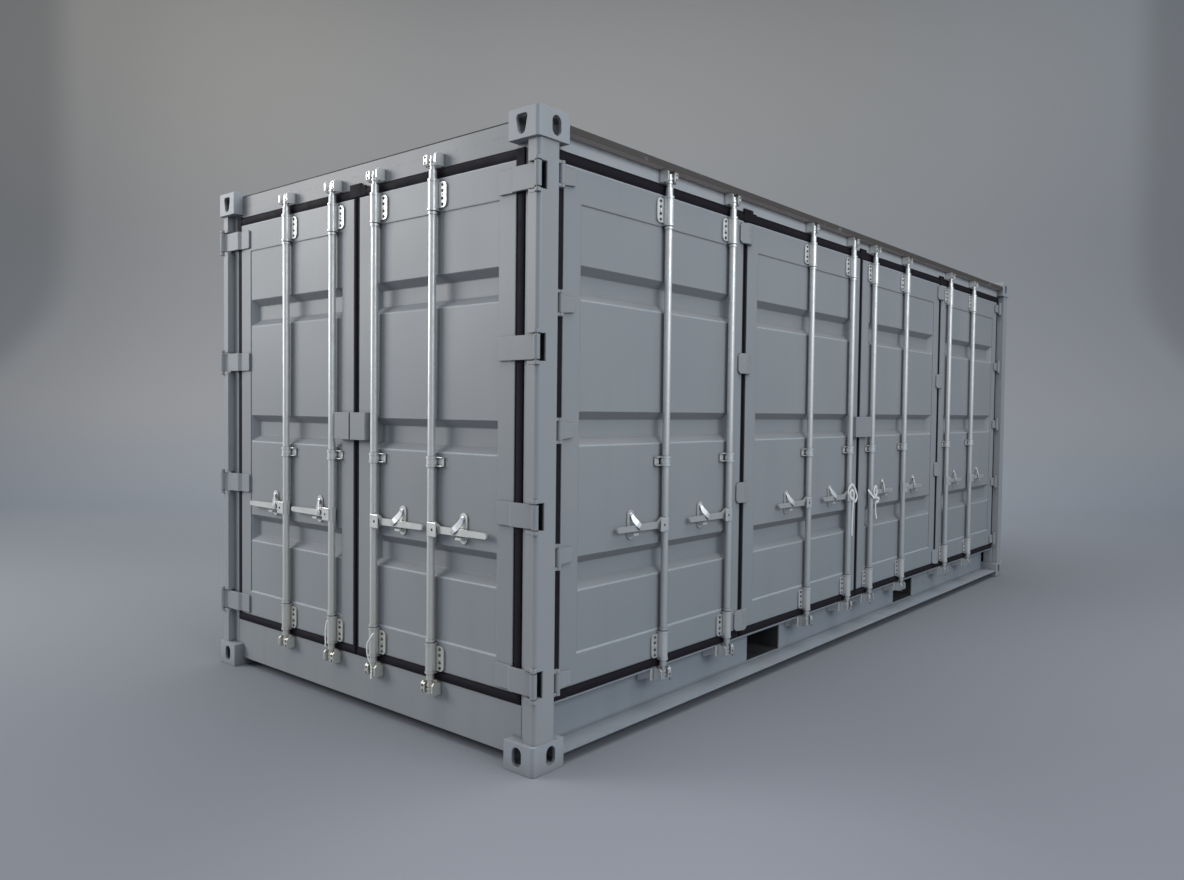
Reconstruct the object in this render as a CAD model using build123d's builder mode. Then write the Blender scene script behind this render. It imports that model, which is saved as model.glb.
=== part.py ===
"""Twenty foot side-opening freight container, millimetres, +Z up.

The double-door end faces -X, the long side with the folding doors faces -Y, and the origin is
on the ground at the middle of the box.
"""

from build123d import *
import os

os.makedirs("parts", exist_ok=True)

# Overall box
length = 6058
width = 2438
height = 2591

# Corner fittings
fitting_length = 178
fitting_width = 162
fitting_height = 118
fitting_corner_radius = 16
fitting_plate = 28
fitting_wall = 15
aperture_end_inset = 102.5
aperture_side_inset = 89.5
aperture_length = 124
aperture_width = 63.5
side_hole_length = 79
side_hole_width = 51
shield_width = 60
shield_shoulder_radius = 14
shield_foot_radius = 20

# Steelwork round the two doorways
plate = 8
frame_recess = 54
leaf_recess = 46
post_front_recess = 16
post_side_recess = 8
post_corner_radius = 18
post_rib_width = 68
post_end_width = 117
post_side_width = 152
post_side_rib = 126
header_drop = 133
sill_top = 248
sill_bottom = 42
roof_drop = 18
beam_depth = 90

# Long rails
side_header_drop = 127
lip_bottom_drop = 68
lip_top_drop = 40
lip_recess = 5
rail_lip_recess = 54
rail_web_recess = 130
side_header_depth = 70
rail_flange_bottom = 47
back_rail_size = 60
back_sill_top = 218
blind_sill_top = 160

# Fork pockets
fork_spacing = 2050
fork_opening = 360
fork_bottom = 62
fork_top = 200
fork_wall = 6

# Cladding, floor
sheet = 4
flat_share = 0.27
wall_crest_recess = 12
end_wall_depth = 46
end_wall_pitch = 250
side_wall_depth = 36
side_wall_pitch = 278
roof_depth = 20
roof_pitch = 210
floor_board = 28
bearer_height = 120
bearer_flange = 45
bearer_plate = 5
bearer_pitch = 300

# Door leaves
door_gap = 44
seal_gap = 45
seal_clearance = 5
seal_thickness = 14
seal_recess = 50
leaf_bottom = 295
leaf_top_gap = 46
leaf_thickness = 50
leaf_wall = 4
panel_step = 3
stile = 94
top_member = 144
bottom_member = 130
trough_height = 142
trough_depth = 34
end_trough_levels = (774, 1313, 1933)
side_trough_levels = (755, 1354, 1952)
side_fold_offset = 1430
side_stile = 106

# Lock bars
bar_edge_inset = 146
end_bar_hinge_inset = 482
outer_bar_shift = 8
bar_recess = 24
bar_radius = 17
bar_bottom = 255
bar_top_gap = 13
cam_stub_radius = 12
cam_stub_length = 60
cam_nose_reach = 20
cam_nose_width = 12
cam_jaw_height = 10
cam_jaw_gap = 6
cam_jaw_offset = 18
cam_ring = 3
keeper_half = 39
keeper_cheek = 8
keeper_height = 54
keeper_margin = 3
keeper_front = 4
keeper_base = 4
keeper_lip = 6
keeper_lip_gap = 16
keeper_taper = 10
gusset_thickness = 10
gusset_height = 66
gusset_offset = 62

# Bearing brackets and guides
bearing_radius = 21
bearing_clearance = 0.6
bearing_length = 134
bearing_inset_low = 55
bearing_inset_high = 72
bearing_ring = 2
bearing_ring_height = 10
collar_gap = 5
collar_height = 10
flange_reach = 70
flange_height = 110
flange_round = 22
flange_thickness = 8
foot_reach = 38
guide_height = 45
guide_reach = 30
guide_round = 8
guide_centre = 1202

# Handles
handle_level = 912
handle_length = 352
handle_height = 32
handle_tip_height = 24
handle_thickness = 10
hub_height = 68
hub_reach = 36
hub_nose_radius = 21
hub_cheek = 5
rivet_radius = 8
rivet_head = 2
catch_offset_left = 132
catch_offset_right = 188
catch_offset_side = 232
catch_width = 46
catch_height = 132
catch_plate = 6
catch_hole_radius = 6
catch_shelf = 10
catch_shelf_front = 12

# End door hinges
hinge_inset_low = 60
hinge_inset_high = 81
pin_inset = 15
pin_radius = 7
pin_clearance = 0.06
knuckle_radius = 14
hinge_height = 96
hinge_clearance = 6
blade_recess = 24
blade_thickness = 12
blade_tail = 91
tail_thickness = 10
tail_round = 8
crank_run = 18
hinge_setback = 2
window_front = 68
window_side = 60
lug_thickness = 14
lug_radius = 13

# Folding side door hinges
post_hinge_inset_low = 40
post_hinge_inset_high = 52
fold_hinge_inset_low = 49
fold_hinge_inset_high = 63
side_hinge_height = 104
side_hinge_tip_height = 57
side_blade_reach = 92
side_blade_thickness = 10
side_barrel_radius = 13
side_barrel_inset = 15
side_barrel_recess = 30
barrel_joint = 1
barrel_groove = 2
post_knuckle_height = 13
fold_hinge_half = 62
fold_hinge_edge = 8
fold_hinge_ridge = 24
fold_hinge_taper = 14

# Boxes on the meeting edges
lock_box_width = 240
lock_box_height = 128
lock_box_depth = 40
lock_box_level = 1344
lock_box_split = 10

end_face = Plane(origin=(-length / 2, 0, 0), x_dir=(0, -1, 0), z_dir=(-1, 0, 0))
side_face = Plane(origin=(0, -width / 2, 0), x_dir=(1, 0, 0), z_dir=(0, -1, 0))
blind_face = Plane(origin=(length / 2, 0, 0), x_dir=(0, 1, 0), z_dir=(1, 0, 0))
back_face = Plane(origin=(0, width / 2, 0), x_dir=(-1, 0, 0), z_dir=(0, 1, 0))

aperture_pitch_x = length - 2 * aperture_end_inset
aperture_pitch_y = width - 2 * aperture_side_inset
doorway_half = width / 2 - post_end_width
side_doorway_half = length / 2 - post_side_width
post_bottom = fitting_height
post_top = height - fitting_height
roof_level = height - roof_drop
header_bottom = height - header_drop
side_header_bottom = height - side_header_drop
lip_bottom = height - lip_bottom_drop
lip_top = height - lip_top_drop
leaf_top = header_bottom - leaf_top_gap
bar_top = header_bottom - bar_top_gap
leaf_height = leaf_top - leaf_bottom
leaf_middle = (leaf_top + leaf_bottom) / 2
panel_recess = leaf_recess + panel_step
leaf_edge = post_end_width + seal_gap
half_gap = door_gap / 2
door_outer = doorway_half - seal_gap
leaf_outer = side_doorway_half - seal_gap
bearing_centre_low = leaf_bottom + bearing_inset_low
bearing_centre_high = leaf_top - bearing_inset_high


def spread(low_inset, high_inset, count):
    """Levels evenly spaced up a leaf, between insets from its bottom and top edges."""
    low = leaf_bottom + low_inset
    step = (leaf_top - high_inset - low) / (count - 1)
    return [low + number * step for number in range(count)]


hinge_levels = spread(hinge_inset_low, hinge_inset_high, 4)
post_hinge_levels = spread(post_hinge_inset_low, post_hinge_inset_high, 5)
fold_hinge_levels = spread(fold_hinge_inset_low, fold_hinge_inset_high, 4)

# Bar places along each face, counted to the right as seen from outside
end_right_bars = (half_gap + bar_edge_inset, door_outer - end_bar_hinge_inset)
inner_leaf_middle = side_fold_offset / 2
outer_leaf_middle = (side_fold_offset + half_gap + leaf_outer) / 2
side_right_bars = (
    half_gap + bar_edge_inset,
    inner_leaf_middle,
    side_fold_offset + half_gap + bar_edge_inset - outer_bar_shift,
    outer_leaf_middle,
)
end_bar_places = [-place for place in reversed(end_right_bars)] + list(end_right_bars)
side_bar_places = [-place for place in reversed(side_right_bars)] + list(side_right_bars)


def plan(face, place, depth, level):
    """Horizontal plane on a face: x runs to the right seen from outside, y runs inward."""
    corner = face.from_local_coords((place, level, -depth))
    return Plane(origin=corner, x_dir=face.x_dir, z_dir=(0, 0, 1))


def profile_plane(face, place, level):
    """Upright plane square to a face: x runs inward, y runs up."""
    corner = face.from_local_coords((place, level, 0))
    return Plane(origin=corner, x_dir=-face.z_dir, z_dir=face.x_dir)


def save(part, name):
    part.label = name
    export_step(part, f"parts/{name}.step")


def corner_plan(end, side, level):
    """Horizontal plane at a box corner: x and y both run inward from the corner."""
    origin = (end * length / 2, side * width / 2, level)
    turned = end * side > 0
    x_dir = (0, -side, 0) if not turned else (-end, 0, 0)
    return Plane(origin=origin, x_dir=x_dir, z_dir=(0, 0, 1)), not turned


def corner_points(swapped, points):
    """Points given as (inward from the end, inward from the side)."""
    if swapped:
        return [(side, end) for end, side in points]
    return points


def make_shield():
    """Hole in an upper fitting's end face, wide at its shoulders and narrow at its foot."""
    shoulder_offset = shield_width / 2 - shield_shoulder_radius
    shoulder_rise = side_hole_length / 2 - shield_shoulder_radius
    foot_drop = side_hole_length / 2 - shield_foot_radius
    with BuildSketch() as shield:
        with Locations((-shoulder_offset, shoulder_rise), (shoulder_offset, shoulder_rise)):
            Circle(shield_shoulder_radius)
        with Locations((0, -foot_drop)):
            Circle(shield_foot_radius)
        make_hull()
    return shield.sketch


# Corner fittings: hollow castings with a twistlock slot and two side holes each
def make_fittings(top):
    outer_z = height if top else 0
    inward = -1 if top else 1
    middle_z = outer_z + inward * fitting_height / 2
    with BuildPart() as fittings:
        for end in (-1, 1):
            for side in (-1, 1):
                x = end * (length - fitting_length) / 2
                y = side * (width - fitting_width) / 2
                with Locations((x, y, middle_z)):
                    Box(fitting_length, fitting_width, fitting_height)
        outer_edges = [
            edge
            for edge in fittings.edges().filter_by(Axis.Z)
            if abs(edge.center().X) > length / 2 - 1 and abs(edge.center().Y) > width / 2 - 1
        ]
        fillet(outer_edges, fitting_corner_radius)
        for end in (-1, 1):
            for side in (-1, 1):
                x = end * (length - fitting_length) / 2
                y = side * (width - fitting_width) / 2
                cavity_height = fitting_height - fitting_plate - fitting_wall
                cavity_z = outer_z + inward * (fitting_plate + cavity_height / 2)
                with Locations((x, y, cavity_z)):
                    Box(
                        fitting_length - 2 * fitting_wall,
                        fitting_width - 2 * fitting_wall,
                        cavity_height,
                        mode=Mode.SUBTRACT,
                    )
        with BuildSketch(Plane.XY.offset(outer_z)):
            with GridLocations(aperture_pitch_x, aperture_pitch_y, 2, 2):
                SlotOverall(aperture_length, aperture_width)
        extrude(amount=inward * (fitting_plate + 1), mode=Mode.SUBTRACT)
        hole_z = middle_z + inward * 3
        for face in (end_face, blind_face):
            with BuildSketch(face):
                with Locations((-aperture_pitch_y / 2, hole_z), (aperture_pitch_y / 2, hole_z)):
                    if top:
                        add(make_shield())
                    else:
                        SlotOverall(side_hole_length, side_hole_width, rotation=90)
            extrude(amount=-(fitting_wall + 1), mode=Mode.SUBTRACT)
        for face in (side_face, back_face):
            with BuildSketch(face):
                with Locations((-aperture_pitch_x / 2, hole_z), (aperture_pitch_x / 2, hole_z)):
                    SlotOverall(side_hole_length, side_hole_width, rotation=90)
            extrude(amount=-(fitting_wall + 1), mode=Mode.SUBTRACT)
    return fittings.part


# Corner posts: folded hollow sections, stepped back beside the two doorways
def post_outline(front, seal_step, side_step):
    """Outline of a post, as distances inward from the end and from the side."""
    outline = [(front, post_side_recess), (front, post_rib_width)]
    if seal_step:
        outline += [(frame_recess, post_rib_width), (frame_recess, post_end_width)]
    else:
        outline += [(front, post_end_width)]
    if side_step:
        outline += [(post_side_width, post_end_width), (post_side_width, frame_recess)]
        outline += [(post_side_rib, frame_recess), (post_side_rib, post_side_recess)]
    else:
        outline += [(fitting_length, post_end_width), (fitting_length, post_side_recess)]
    return outline


def make_post(end, side, seal_step, windows):
    base, swapped = corner_plan(end, side, post_bottom)
    outline = corner_points(swapped, post_outline(post_front_recess, seal_step, side < 0))
    tall = post_top - post_bottom
    with BuildPart() as post:
        with BuildSketch(base):
            with BuildLine():
                Polyline(*outline, close=True)
            make_face()
        extrude(amount=tall)
        corner = Vector(end * (length / 2 - post_front_recess), side * (width / 2 - post_side_recess), 0)
        outer = post.edges().filter_by(Axis.Z).sort_by_distance(corner + Vector(0, 0, post_bottom + tall / 2))
        fillet(outer[0], post_corner_radius)
        with BuildSketch(base):
            with BuildLine():
                Polyline(*outline, close=True)
            make_face()
            offset(amount=-plate, kind=Kind.INTERSECTION, mode=Mode.REPLACE)
        extrude(amount=tall, mode=Mode.SUBTRACT)
        for level in windows:
            half = hinge_height / 2 + hinge_clearance
            lug_reach = window_side - pin_inset
            for lug_start in (level - half - lug_thickness, level + half):
                corner_sheet, _ = corner_plan(end, side, lug_start)
                with BuildSketch(corner_sheet):
                    with Locations((pin_inset, pin_inset)):
                        Circle(lug_radius)
                        Rectangle(lug_reach, lug_reach, align=(Align.MIN, Align.MIN))
                extrude(amount=lug_thickness)
            corner_sheet, _ = corner_plan(end, side, level - half)
            with BuildSketch(corner_sheet):
                cut = corner_points(swapped, [(window_side, window_front)])[0]
                Rectangle(cut[0], cut[1], align=(Align.MIN, Align.MIN))
            extrude(amount=2 * half, mode=Mode.SUBTRACT)
            pin_sheet, _ = corner_plan(end, side, level - half - lug_thickness)
            with BuildSketch(pin_sheet):
                with Locations((pin_inset, pin_inset)):
                    Circle(pin_radius)
            extrude(amount=2 * (half + lug_thickness), mode=Mode.SUBTRACT)
    return post.part


def make_hinge_pins():
    pin_length = hinge_height + 2 * hinge_clearance + 2 * lug_thickness
    with BuildPart() as pins:
        for side in (-1, 1):
            for level in hinge_levels:
                sheet_at, _ = corner_plan(-1, side, level - pin_length / 2)
                with BuildSketch(sheet_at):
                    with Locations((pin_inset, pin_inset)):
                        Circle(pin_radius)
                extrude(amount=pin_length)
    return pins.part


# Cross beams at the ends: open channels between the posts
def channel_beam(face, low, high, fitting_side, recess):
    """Front plate with a flange at top and bottom; the flange ends stop at the fittings."""
    step = post_top if high > post_top else post_bottom
    with BuildPart() as beam:
        with BuildSketch(face.offset(-recess)):
            with Locations((0, (low + high) / 2)):
                Rectangle(2 * doorway_half, high - low)
        extrude(amount=-beam_depth)
        with BuildSketch(face.offset(-recess - plate)):
            with Locations((0, (low + high) / 2)):
                Rectangle(2 * doorway_half, high - low - 2 * plate)
        extrude(amount=-beam_depth, mode=Mode.SUBTRACT)
        notch = doorway_half - fitting_side
        with BuildSketch(face.offset(-recess + 1)):
            for hand in (-1, 1):
                if step == post_top:
                    with Locations((hand * (doorway_half - notch / 2), (step + high) / 2)):
                        Rectangle(notch, high - step)
                else:
                    with Locations((hand * (doorway_half - notch / 2), (step + low) / 2)):
                        Rectangle(notch, step - low)
        extrude(amount=-beam_depth - 2, mode=Mode.SUBTRACT)
    return beam.part


# Rails: folded plate sections drawn as a line of plate thickness, run between the fittings
def folded_rail(section_points, run_half, thickness):
    """Section points are (inward from the open side, level)."""
    start = Plane(origin=(-run_half, -width / 2, 0), x_dir=(0, 1, 0), z_dir=(1, 0, 0))
    with BuildPart() as rail:
        with BuildSketch(start):
            with BuildLine():
                Polyline(*section_points)
                offset(amount=thickness, side=Side.RIGHT, kind=Kind.INTERSECTION)
            make_face()
        extrude(amount=2 * run_half)
    return rail.part


def corrugated(base, run, wave, pitch, tall):
    """Trapezoid cladding that starts and ends on an outer flat."""
    flat = pitch * flat_share
    count = int((run - flat) // pitch)
    margin = (run - count * pitch - flat) / 2
    front = [(-run / 2, 0)]
    for number in range(count):
        start = -run / 2 + margin + flat + number * pitch
        slope = (pitch - 2 * flat) / 2
        front += [(start, 0), (start + slope, wave)]
        front += [(start + slope + flat, wave), (start + 2 * slope + flat, 0)]
    front += [(run / 2, 0)]
    back = [(x, y + sheet) for x, y in reversed(front)]
    with BuildPart() as wall:
        with BuildSketch(base):
            with BuildLine():
                Polyline(*front, *back, close=True)
            make_face()
        extrude(amount=tall)
    return wall.part


# Door leaves: a welded frame with three troughs pressed into the sheet
def make_leaf(face, left, right, side_member, trough_levels):
    middle = (left + right) / 2
    wide = right - left
    panel = wide - 2 * side_member
    panel_tall = leaf_height - bottom_member - top_member
    panel_middle = leaf_middle + (bottom_member - top_member) / 2
    with BuildPart() as leaf:
        with BuildSketch(face.offset(-leaf_recess)):
            with Locations((middle, leaf_middle)):
                Rectangle(wide, leaf_height)
        extrude(amount=-leaf_thickness)
        with BuildSketch(face.offset(-leaf_recess)):
            with Locations((middle, panel_middle)):
                Rectangle(panel, panel_tall)
        extrude(amount=-panel_step, mode=Mode.SUBTRACT)
        with BuildSketch(face.offset(-panel_recess - leaf_wall)):
            with Locations((middle, panel_middle)):
                Rectangle(panel, panel_tall)
        extrude(amount=-leaf_thickness, mode=Mode.SUBTRACT)
        for level in trough_levels:
            with BuildSketch(face.offset(-panel_recess - leaf_wall)):
                with Locations((middle, level)):
                    Rectangle(panel, trough_height + leaf_wall)
            extrude(amount=-trough_depth, taper=45)
        for level in trough_levels:
            with BuildSketch(face.offset(-panel_recess)):
                with Locations((middle, level)):
                    Rectangle(panel - 2 * leaf_wall, trough_height)
            extrude(amount=-trough_depth, taper=45, mode=Mode.SUBTRACT)
    return leaf.part


def make_seal(face, left, right, reach_left, reach_right, reach_low, reach_high):
    """Rubber strip round one leaf, in the gap between the leaf and the frame."""
    with BuildPart() as seal:
        with BuildSketch(face.offset(-seal_recess)):
            outer_middle = (left - reach_left + right + reach_right) / 2
            outer_level = (leaf_bottom - reach_low + leaf_top + reach_high) / 2
            with Locations((outer_middle, outer_level)):
                Rectangle(right - left + reach_left + reach_right, leaf_height + reach_low + reach_high)
            with Locations(((left + right) / 2, leaf_middle)):
                Rectangle(right - left, leaf_height, mode=Mode.SUBTRACT)
        extrude(amount=-seal_thickness)
    return seal.part


# Lock bars: tube with jawed cams at both ends, collars at the bearings, hub and handle
def make_bar(face, place, hand):
    """hand is the side that the handle lies on, +1 to the right seen from outside."""
    jaw_pitch = cam_jaw_height + cam_jaw_gap
    sleeve_half = bearing_length / 2
    collar_low = bearing_centre_low + sleeve_half + collar_gap
    collar_high = bearing_centre_high - sleeve_half - collar_gap - collar_height
    hub_thickness = handle_thickness + 2 * hub_cheek
    with BuildPart() as bar:
        with BuildSketch(plan(face, place, bar_recess, bar_bottom)):
            Circle(bar_radius)
        extrude(amount=bar_top - bar_bottom)
        for level, way in ((bar_top, 1), (bar_bottom, -1)):
            with BuildSketch(plan(face, place, bar_recess, level)):
                Circle(cam_stub_radius)
            extrude(amount=way * cam_stub_length)
            for tier in range(2):
                jaw_start = level + way * (cam_jaw_offset + tier * jaw_pitch)
                with BuildSketch(plan(face, place, bar_recess, jaw_start)):
                    with Locations((-hand * cam_nose_reach / 2, 0)):
                        Rectangle(cam_nose_reach, cam_nose_width)
                    Circle(cam_stub_radius + cam_ring)
                extrude(amount=way * cam_jaw_height)
        for level in (collar_low, collar_high):
            with BuildSketch(plan(face, place, bar_recess, level)):
                Circle(bearing_radius)
            extrude(amount=collar_height)
        with BuildSketch(face.offset(-bar_recess)):
            with Locations((place, handle_level)):
                Rectangle(2 * bar_radius, hub_height)
            with Locations((place + hand * hub_reach, handle_level)):
                Circle(hub_nose_radius)
            make_hull()
        extrude(amount=hub_thickness / 2, both=True)
        with BuildSketch(face.offset(-bar_recess)):
            with Locations((place + hand * hub_reach, handle_level)):
                Circle(handle_height / 2)
            with Locations((place + hand * (handle_length - handle_tip_height / 2), handle_level)):
                Circle(handle_tip_height / 2)
            make_hull()
        extrude(amount=handle_thickness / 2, both=True)
        with BuildSketch(face.offset(-bar_recess)):
            with Locations((place + hand * hub_reach, handle_level)):
                Circle(rivet_radius)
        extrude(amount=hub_thickness / 2 + rivet_head, both=True)
    return bar.part


def make_keeper(face, place, hand, level, base_recess):
    """Bracket with two cheeks and a lip in front of the cam's nose."""
    depth = base_recess - keeper_front
    lip = keeper_half - keeper_lip_gap
    with BuildPart() as keeper:
        with BuildSketch(plan(face, place, keeper_front, level - keeper_height / 2)):
            with Locations((0, depth - keeper_base / 2)):
                Rectangle(2 * keeper_half, keeper_base)
            for end in (-1, 1):
                with Locations((end * (keeper_half - keeper_cheek / 2), depth / 2)):
                    Rectangle(keeper_cheek, depth)
            with Locations((-hand * (keeper_lip_gap + lip / 2), keeper_lip / 2)):
                Rectangle(lip, keeper_lip)
        extrude(amount=keeper_height)
        half = keeper_height / 2
        taper_start = keeper_front + keeper_taper
        with BuildSketch(profile_plane(face, place, level)):
            with BuildLine():
                Polyline(
                    (base_recess, half),
                    (taper_start, half),
                    (keeper_front, half - keeper_taper),
                    (keeper_front, keeper_taper - half),
                    (taper_start, -half),
                    (base_recess, -half),
                    close=True,
                )
            make_face()
        extrude(amount=keeper_half, both=True, mode=Mode.INTERSECT)
    return keeper.part


def make_bracket(face, place, centre, seat, tall, reaches, high, round_by):
    """Sleeve round the bar on a block; reaches are those of its flange and foot, + to the right."""
    deep = seat - bar_recess
    with BuildPart() as bracket:
        with BuildSketch(plan(face, place, bar_recess, centre - tall / 2)):
            Circle(bearing_radius)
            with Locations((0, deep / 2)):
                Rectangle(2 * bearing_radius, deep)
        extrude(amount=tall)
        for start in (centre - tall / 2, centre + tall / 2 - bearing_ring_height):
            with BuildSketch(plan(face, place, bar_recess, start)):
                Circle(bearing_radius + bearing_ring)
                with Locations((0, deep)):
                    Rectangle(
                        4 * bearing_radius,
                        bearing_radius,
                        align=(Align.CENTER, Align.MIN),
                        mode=Mode.SUBTRACT,
                    )
            extrude(amount=bearing_ring_height)
        for reach, corner_radius in zip(reaches, (round_by, guide_round)):
            with BuildSketch(face.offset(-seat)):
                with Locations((place + reach / 2, centre)):
                    RectangleRounded(abs(reach), high, corner_radius)
            extrude(amount=flange_thickness)
        with BuildSketch(plan(face, place, bar_recess, centre - tall / 2)):
            Circle(bar_radius + bearing_clearance)
        extrude(amount=tall, mode=Mode.SUBTRACT)
    return bracket.part


def make_bearings(face, places, flange_hand):
    """Long bearings on the leaf's frame and a short guide on its sheet, for each bar."""
    reaches = (flange_hand * flange_reach, -flange_hand * foot_reach)
    bearing_shape = (bearing_length, reaches, flange_height, flange_round)
    guide_shape = (guide_height, (guide_reach, -guide_reach), guide_height, guide_round)
    with BuildPart() as bearings:
        for place in places:
            for centre in (bearing_centre_low, bearing_centre_high):
                add(make_bracket(face, place, centre, leaf_recess, *bearing_shape))
            add(make_bracket(face, place, guide_centre, panel_recess, *guide_shape))
    return bearings.part


def make_catches(face, places, hands, offsets):
    """Plate behind each handle with a shelf under it and two bolt holes."""
    plate_level = handle_level + handle_height / 2
    shelf_top = handle_level - handle_height / 2 - seal_clearance
    with BuildPart() as catches:
        for place, hand, catch_offset in zip(places, hands, offsets):
            centre = place + hand * catch_offset
            with BuildSketch(face.offset(-panel_recess)):
                with Locations((centre, plate_level)):
                    SlotOverall(catch_height, catch_width, rotation=90)
                for way in (-1, 1):
                    with Locations((centre, plate_level + way * (catch_height - catch_width) / 2)):
                        Circle(catch_hole_radius, mode=Mode.SUBTRACT)
            extrude(amount=catch_plate)
            with BuildSketch(face.offset(-panel_recess + catch_plate)):
                with Locations((centre, shelf_top)):
                    Rectangle(
                        catch_width - catch_shelf, catch_shelf, align=(Align.CENTER, Align.MAX)
                    )
            extrude(amount=panel_recess - catch_plate - catch_shelf_front)
    return catches.part


# Hinge blades of the end doors: knuckle on the pin, plate over the seal, crank down to the leaf
def make_blade(side, level):
    tail_front = leaf_recess - tail_thickness
    blade_back = blade_recess + blade_thickness
    crank_start = leaf_edge - hinge_setback
    crank_back = crank_start + crank_run - hinge_setback
    tail_end = leaf_edge + blade_tail
    outline = [
        (pin_inset, pin_inset),
        (pin_inset, pin_inset + knuckle_radius),
        (blade_recess, pin_inset + 2 * knuckle_radius),
        (blade_recess, crank_start),
        (tail_front, crank_start + crank_run),
        (tail_front, tail_end),
        (leaf_recess, tail_end),
        (leaf_recess, crank_back),
        (blade_back, crank_start - hinge_setback),
        (blade_back, pin_inset + knuckle_radius / 2),
        (pin_inset + knuckle_radius, pin_inset),
    ]
    base, swapped = corner_plan(-1, side, level - hinge_height / 2)
    with BuildPart() as blade:
        with BuildSketch(base):
            with BuildLine():
                Polyline(*corner_points(swapped, outline), close=True)
            make_face()
            with Locations((pin_inset, pin_inset)):
                Circle(knuckle_radius)
                Circle(pin_radius + pin_clearance, mode=Mode.SUBTRACT)
        extrude(amount=hinge_height)
        outer_to_inner = sorted(blade.edges().filter_by(Axis.X), key=lambda edge: -abs(edge.center().Y))
        fillet(outer_to_inner[-2:], tail_round)
    return blade.part


def make_end_blades(side):
    with BuildPart() as blades:
        for level in hinge_levels:
            add(make_blade(side, level))
    return blades.part


# Side hinges: a barrel with its joint lines, on tapered plates
def make_barrel(place, level, knuckles):
    """Upright barrel; knuckles are pairs of (distance up from the foot, height)."""
    foot = level - side_hinge_height / 2
    with BuildPart() as barrel:
        with BuildSketch(plan(side_face, place, side_barrel_recess, foot)):
            Circle(side_barrel_radius - barrel_groove)
        extrude(amount=side_hinge_height)
        for start, tall in knuckles:
            with BuildSketch(plan(side_face, place, side_barrel_recess, foot + start)):
                Circle(side_barrel_radius)
            extrude(amount=tall)
    return barrel.part


def make_post_hinges():
    """Hinges between the outer side leaves and the posts."""
    centre_start = post_knuckle_height + barrel_joint
    last_start = side_hinge_height - post_knuckle_height
    knuckles = (
        (0, post_knuckle_height),
        (centre_start, last_start - barrel_joint - centre_start),
        (last_start, post_knuckle_height),
    )
    with BuildPart() as hinges:
        for hand in (-1, 1):
            place = hand * (side_doorway_half - side_barrel_inset)
            tip = place - hand * side_blade_reach
            lug = post_side_width - post_side_rib + side_barrel_inset
            for level in post_hinge_levels:
                add(make_barrel(place, level, knuckles))
                high = side_hinge_height / 2 - centre_start
                low = side_hinge_tip_height / 2
                with BuildSketch(side_face.offset(-leaf_recess)):
                    with BuildLine():
                        Polyline(
                            (place, level + high),
                            (place, level - high),
                            (tip, level - low),
                            (tip, level + low),
                            close=True,
                        )
                    make_face()
                extrude(amount=side_blade_thickness)
                for start, tall in (knuckles[0], knuckles[-1]):
                    foot = level - side_hinge_height / 2 + start
                    with BuildSketch(plan(side_face, place, side_barrel_recess, foot)):
                        with Locations((hand * lug / 2, 0)):
                            Rectangle(lug, side_barrel_radius)
                    extrude(amount=tall)
    return hinges.part


def make_fold_hinges():
    """Ridged hinges between the two leaves of each folding pair."""
    third = side_hinge_height / 3
    knuckles = [(number * third, third - barrel_joint) for number in range(3)]
    ridge_front = leaf_recess - fold_hinge_ridge
    edge_front = leaf_recess - fold_hinge_edge
    with BuildPart() as hinges:
        for place in (-side_fold_offset, side_fold_offset):
            for level in fold_hinge_levels:
                with BuildPart() as plates:
                    with BuildSketch(plan(side_face, place, 0, level - side_hinge_height / 2)):
                        with BuildLine():
                            Polyline(
                                (-fold_hinge_half, leaf_recess),
                                (-fold_hinge_half, edge_front),
                                (-side_barrel_radius, ridge_front),
                                (side_barrel_radius, ridge_front),
                                (fold_hinge_half, edge_front),
                                (fold_hinge_half, leaf_recess),
                                close=True,
                            )
                        make_face()
                    extrude(amount=side_hinge_height)
                    corners = plates.edges().filter_by(Axis.Y).sort_by(Axis.X)
                    chamfer(corners[:2] + corners[-2:], fold_hinge_taper)
                add(plates.part)
                add(make_barrel(place, level, knuckles))
    return hinges.part


def make_lock_box(face, left, right):
    with BuildPart() as lock_box:
        with BuildSketch(face.offset(-leaf_recess)):
            with Locations(((left + right) / 2, lock_box_level)):
                Rectangle(right - left, lock_box_height)
        extrude(amount=lock_box_depth)
        with BuildSketch(face.offset(-leaf_recess)):
            with Locations(((left + right) / 2, lock_box_level - 4)):
                Rectangle(right - left - 2 * leaf_wall, lock_box_height - 8)
        extrude(amount=lock_box_depth - leaf_wall, mode=Mode.SUBTRACT)
    return lock_box.part


save(make_fittings(True), "top_corner_fittings")
save(make_fittings(False), "bottom_corner_fittings")
with BuildPart() as door_posts:
    add(make_post(-1, -1, True, hinge_levels))
    add(make_post(-1, 1, True, hinge_levels))
save(door_posts.part, "door_posts")
with BuildPart() as blind_posts:
    add(make_post(1, -1, False, ()))
    add(make_post(1, 1, False, ()))
save(blind_posts.part, "blind_posts")
save(make_hinge_pins(), "hinge_pins")

inner_half = width / 2 - fitting_width
with BuildPart() as end_headers:
    add(channel_beam(end_face, header_bottom, roof_level, inner_half, frame_recess))
    add(channel_beam(blind_face, header_bottom, roof_level, inner_half, post_front_recess))
save(end_headers.part, "end_headers")
with BuildPart() as end_sills:
    add(channel_beam(end_face, sill_bottom, sill_top, inner_half, frame_recess))
    add(channel_beam(blind_face, sill_bottom, blind_sill_top, inner_half, post_front_recess))
save(end_sills.part, "end_sills")

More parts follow.
